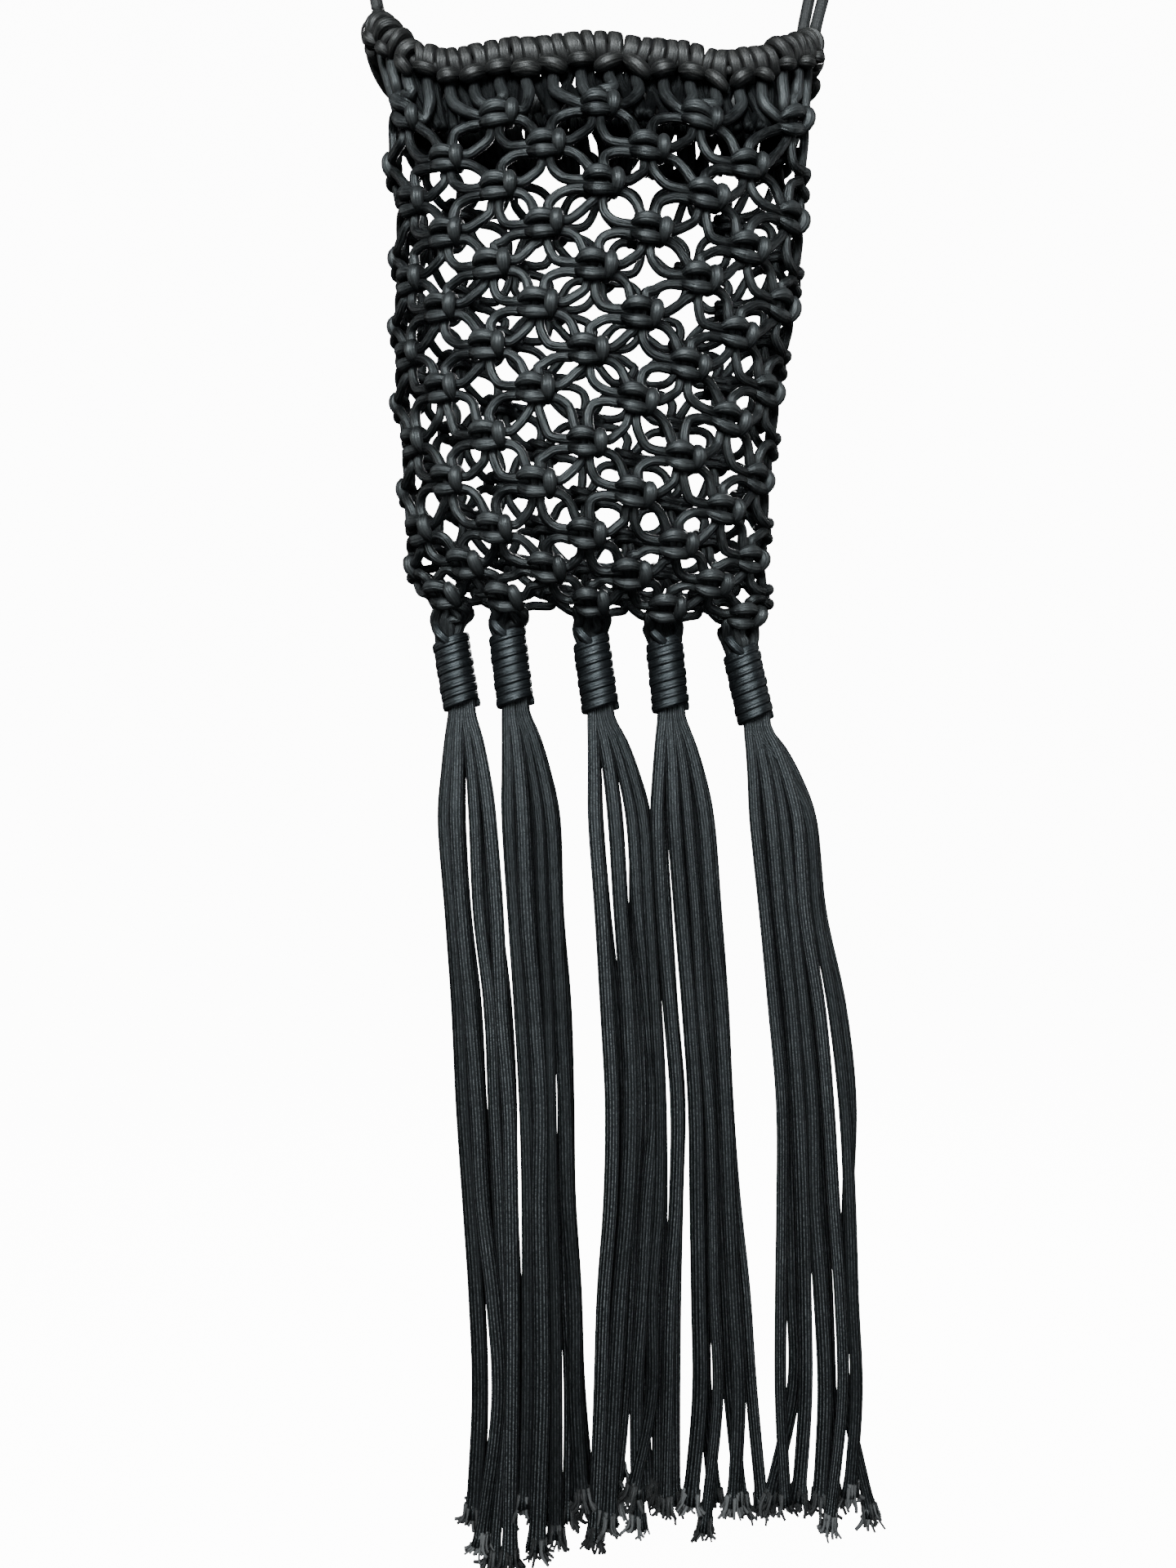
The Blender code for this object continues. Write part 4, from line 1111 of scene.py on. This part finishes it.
def make_fringe(number, tassel, material, tip_material):
    rng = random.Random(SEED + 40 + number)
    bundle = Bundle()
    tips = Bundle()
    foot = binding_foot(tassel)
    first = (number - 1) * STRANDS_IN_TASSEL
    for order, strand in enumerate(STRANDS[first : first + STRANDS_IN_TASSEL]):
        path = smooth_path(strand_route(rng, foot, order, strand), STRAND_STEP)
        shares = np.linspace(0.0, 1.0, len(path))
        twist = (rng.uniform(-0.3, 0.3) + shares * rng.uniform(-1.0, 1.0))[:, None]
        ways = path_directions(path, False)
        normals = carried_normals(ways, FRONT)
        normals = normals * np.cos(twist) + np.cross(ways, normals) * np.sin(twist)
        grow = np.clip(shares / STRAND_OPENS, 0.0, 1.0)
        flare = 1.0 + FLARE * np.clip((shares - FLARE_FROM) / (1.0 - FLARE_FROM), 0.0, 1.0) ** 1.5
        wide = (blend(*STRAND_WIDE, grow) + STRAND_WIDENS * shares) * strand.width * flare * MM
        thick = blend(*STRAND_THICK, grow) * flare * MM
        bundle.tube(path, thick, wide, sides=2 * STRAND_RIBS, normals=normals, ribs=STRAND_RIBS,
                    rib_depth=STRAND_RIB_DEPTH, tone=rng.random())
        fray(tips, rng, path[-1], ways[-1], normals[-1], thick[-1], wide[-1])
    bundle.finish(f"fringe_strands_{number}", [f"fringe_{number}"], "fringe_cord", material)
    tips.finish(f"fringe_fray_{number}", [f"fringe_{number}"], "fringe_cord", tip_material)


def fray(tips, rng, end, way, normal, thick, wide):
    """The short tuft of loose yarns at the end of a strand."""
    sideways = np.cross(way, normal)
    pale = rng.uniform(0.55, 0.9) if rng.random() < PALE_TUFTS else rng.uniform(-0.3, 0.25)
    for _ in range(YARNS):
        angle = rng.uniform(0.0, math.tau)
        far = math.sqrt(rng.uniform(0.1, 1.0))
        off = turned(normal * thick, sideways * wide, angle) * far
        out = unit(off) * far
        length = rng.uniform(2.4, 4.6) * MM
        spread = rng.uniform(0.2, 1.0)
        curl = vec(rng.uniform(-1, 1), rng.uniform(-1, 1), rng.uniform(-0.4, 1.0)) * 0.5
        points = [end + off * 0.85 - way * rng.uniform(3.5, 6.0) * MM, end + off]
        for step in (0.4, 0.75, 1.0):
            points.append(end + off + (way * step + out * spread * step + curl * step**2) * length)
        path = smooth_path(points, 1.3 * MM)
        thin = np.linspace(*YARN_RADIUS, len(path)) * rng.uniform(0.75, 1.25) * MM
        tips.tube(path, thin, sides=6, tone=pale + rng.uniform(-0.25, 0.25))


# Rings and strap

# A ring's wire: its length in turns, where it starts, and where its two turns cross over
RING_STEPS = 120
RING_TURNS = 1.97
RING_START = 0.6
RING_CROSS_FROM = 0.44
RING_CROSS_LENGTH = 0.12


def ring_centre(side):
    core = rim_line(KNOTS_ROUND / 4 * side)[0]
    return core + UP * ((RING_INSIDE - RIM_CORE) / 2 - GAP)


def make_ring(name, node, side, turn, material):
    """A split ring: two turns of wire side by side, with an offset where they cross over."""
    bundle = Bundle()
    centre = ring_centre(side)
    flat = vec(math.cos(turn), math.sin(turn), 0.0)
    axle = vec(-math.sin(turn), math.cos(turn), 0.0)
    middle = (RING_OUTSIDE - RING_WIRE) / 2
    path = []
    for i in range(RING_STEPS + 1):
        share = i / RING_STEPS
        over = smooth_share((share - RING_CROSS_FROM) / RING_CROSS_LENGTH) * 2.0 - 1.0
        outward = turned(flat, UP, math.tau * RING_TURNS * share + RING_START)
        path.append(centre + outward * middle + axle * over * RING_WIRE / 2)
    bundle.tube(path, RING_WIRE / 2, sides=10, start=axle)
    bundle.finish(name, [node], "ring_wire", material)


def strap_side(side, share):
    """The strap's middle line on one side, from its ring (0) up to the top of its arch (1)."""
    start = ring_centre(side)
    foot = vec(start[0], 0.0, start[2] + RING_OUTSIDE / 2)
    rise = -foot[2]
    lean = foot + vec(side * STRAP_BULGE, 0.0, rise * STRAP_BULGE_RISE)
    shoulder = vec(side * STRAP_SHOULDER, 0.0, -STRAP_CORD / 2)
    top = vec(0.0, 0.0, -STRAP_CORD / 2)
    keep = 1.0 - share
    low = foot * keep**3 + lean * 3.0 * keep**2 * share
    return low + shoulder * 3.0 * keep * share**2 + top * share**3


def right_twist(share):
    """How far the strap's two runs are turned out of the bag's plane above the right ring."""
    rising = blend(RIGHT_RING_TURN, RIGHT_STRAP_TURN, smooth_share(share / STRAP_TURNED_AT))
    going = (share - STRAP_TURN_KEPT) / (STRAP_TURN_GONE - STRAP_TURN_KEPT)
    return rising * (1.0 - smooth_share(going))


def strap_bend(side, turn, bend, way):
    """The bend through a ring that joins the strap's two runs."""
    foot = strap_side(side, 0.0)
    low = ring_centre(side)[2] + RING_INSIDE / 2 - GAP - STRAP_CORD / 2
    apart = vec(-math.sin(turn), math.cos(turn), 0.0)
    centre = vec(foot[0], foot[1], low + bend)
    points = []
    for i in range(1, STRAP_BEND_POINTS + 1):
        angle = math.pi * i / (STRAP_BEND_POINTS + 1)
        across = -math.cos(angle) * bend * way
        points.append(centre + apart * across - UP * math.sin(angle) * bend)
    return points


def strap_points():
    """The whole closed loop: one run, the bend through the right ring, the other run and the left bend."""
    bend = RING_WIDTH / 2 + GAP + STRAP_CORD / 2 + STRAP_BEND_PLAY
    loose = (STRAP_CORD + STRAP_PAIR_GAP) / 2
    line = [(-1.0, share) for share in STRAP_STEPS]
    line += [(1.0, share) for share in reversed(STRAP_STEPS[:-1])]
    runs = {-1: [], 1: []}
    for side, share in line:
        place = strap_side(side, share)
        spacing = blend(bend, loose, smooth_share(share / STRAP_CLOSED_AT))
        twist = right_twist(share) if side > 0 else 0.0
        apart = vec(-math.sin(twist), math.cos(twist), 0.0)
        for run in runs:
            runs[run].append(place + apart * spacing * run)
    points = list(runs[-1])
    points += strap_bend(1.0, RIGHT_RING_TURN, bend, 1.0)
    points += list(reversed(runs[1]))
    points += strap_bend(-1.0, 0.0, bend, -1.0)
    return points


def make_strap(material):
    bundle = Bundle()
    path = smooth_path(strap_points(), 1.8 * MM, closed=True)
    bundle.tube(path, STRAP_CORD / 2, sides=14, closed=True, tone=0.6)
    bundle.finish("strap_cords", ["strap"], "strap_cord", material)


# Room, lights and camera

FLOOR_Z = -1.32
FLOOR_RADIUS = 1.7
FLOOR_BEND = 0.7
FLOOR_BEND_STEPS = 12
WALL_TOP = 1.6
FLOOR_SIDES = 96
WORLD_LIGHT = 0.03


def make_floor():
    """A pale floor that rises in a round bend to a pale wall on all sides."""
    profile = []
    for i in range(FLOOR_BEND_STEPS + 1):
        angle = math.pi / 2 * i / FLOOR_BEND_STEPS
        out = FLOOR_RADIUS + FLOOR_BEND * math.sin(angle)
        profile.append((out, FLOOR_Z + FLOOR_BEND * (1.0 - math.cos(angle))))
    profile.append((FLOOR_RADIUS + FLOOR_BEND, WALL_TOP))
    points = [(0.0, 0.0, FLOOR_Z)]
    for radius, height in profile:
        for s in range(FLOOR_SIDES):
            angle = math.tau * s / FLOOR_SIDES
            points.append((radius * math.sin(angle), radius * math.cos(angle), height))
    faces = [(0, 1 + (s + 1) % FLOOR_SIDES, 1 + s) for s in range(FLOOR_SIDES)]
    for ring in range(len(profile) - 1):
        low = 1 + ring * FLOOR_SIDES
        high = low + FLOOR_SIDES
        for s in range(FLOOR_SIDES):
            t = (s + 1) % FLOOR_SIDES
            faces.append((low + s, low + t, high + t, high + s))
    mesh = bpy.data.meshes.new("floor")
    mesh.from_pydata(points, [], faces)
    mesh.shade_smooth()
    mesh.materials.append(floor_material())
    floor = added_object("floor", mesh)
    floor.visible_diffuse = False
    floor.visible_glossy = False


Lamp = namedtuple("Lamp", "name place size power")
LAMPS = [
    Lamp("key_light", (-0.25, -1.5, 0.0), 0.6, 62.0),
    Lamp("fill_light", (0.5, -1.6, -1.0), 0.6, 9.0),
    Lamp("back_light", (0.25, 1.5, 0.0), 0.6, 40.0),
    Lamp("left_light", (-1.6, 0.2, -0.3), 0.6, 4.0),
    Lamp("right_light", (1.6, 0.2, -0.3), 0.6, 4.0),
]
LIT_POINT = (0.0, 0.0, -0.75)


def make_lights():
    for lamp in LAMPS:
        data = bpy.data.lights.new(lamp.name, "AREA")
        data.size = lamp.size
        data.energy = lamp.power
        light = added_object(lamp.name, data)
        light.location = lamp.place
        away = Vector(LIT_POINT) - Vector(lamp.place)
        light.rotation_mode = "QUATERNION"
        light.rotation_quaternion = away.to_track_quat("-Z", "Y")
    world = bpy.data.worlds.new("studio")
    world.use_nodes = True
    background = world.node_tree.nodes["Background"]
    background.inputs["Color"].default_value = (1.0, 1.0, 1.0, 1.0)
    background.inputs["Strength"].default_value = WORLD_LIGHT
    bpy.context.scene.world = world


def make_camera():
    data = bpy.data.cameras.new("camera")
    data.sensor_width = CAMERA_SIDE
    data.lens = CAMERA_LENS
    camera = added_object("camera", data)
    camera.location = CAMERA_PLACE
    camera.rotation_euler = (math.pi / 2, 0.0, 0.0)
    bpy.context.scene.camera = camera


def main():
    make_camera()
    net_cord = cord_material(
        "net_cord", (0.0010, 0.0013, 0.0014), (0.020, 0.023, 0.024), (0.045, 0.050, 0.052),
        roughness=0.40, shine=0.44, tones=0.6, tint=(0.84, 0.96, 1.0))
    # The cords behind the hitches get a darker copy of the net's cord: painted shade for the shadow there
    band_cord_painted_shade = cord_material(
        "band_cord_painted_shade", (0.0006, 0.0008, 0.0009), (0.0016, 0.0020, 0.0022), (0.006, 0.007, 0.0075),
        roughness=0.50, shine=0.16, tint=(0.84, 0.96, 1.0))
    rim_cord = cord_material(
        "rim_cord", (0.0022, 0.0026, 0.0026), (0.011, 0.012, 0.0118), (0.075, 0.076, 0.073),
        roughness=0.46, shine=0.5)
    strap_cord = cord_material(
        "strap_cord", (0.006, 0.007, 0.008), (0.016, 0.018, 0.019), (0.06, 0.063, 0.063),
        braid=2600.0, roughness=0.6)
    binding_cord = cord_material(
        "binding_cord", (0.0010, 0.0013, 0.0016), (0.0032, 0.0040, 0.0048), (0.017, 0.020, 0.022),
        roughness=0.40, shine=0.6, tint=(0.78, 0.93, 1.0))
    fringe_cord = cord_material(
        "fringe_cord", (0.0006, 0.0008, 0.0009), (0.0040, 0.0049, 0.0054), (0.120, 0.138, 0.146),
        ribs=STRAND_RIBS, roughness=0.42, shine=0.30, rib_height=0.3, painted_groove_strength=0.95, tones=1.5,
        tint=(0.80, 0.94, 1.0))
    fray_fibre = cord_material(
        "fray_fibre", (0.0020, 0.0026, 0.0029), (0.085, 0.092, 0.095), (0.12, 0.127, 0.13),
        roughness=0.8, tones=1.2)
    ring_wire = wire_material("ring_wire")
    make_net(net_cord)
    make_band(band_cord_painted_shade)
    make_rim(rim_cord)
    for number, tassel in enumerate(TASSELS, start=1):
        make_binding(number, tassel, binding_cord)
        make_fringe(number, tassel, fringe_cord, fray_fibre)
    make_ring("split_ring_left", "strap_ring_left", -1.0, 0.0, ring_wire)
    make_ring("split_ring_right", "strap_ring_right", 1.0, RIGHT_RING_TURN, ring_wire)
    make_strap(strap_cord)
    make_floor()
    make_lights()


main()
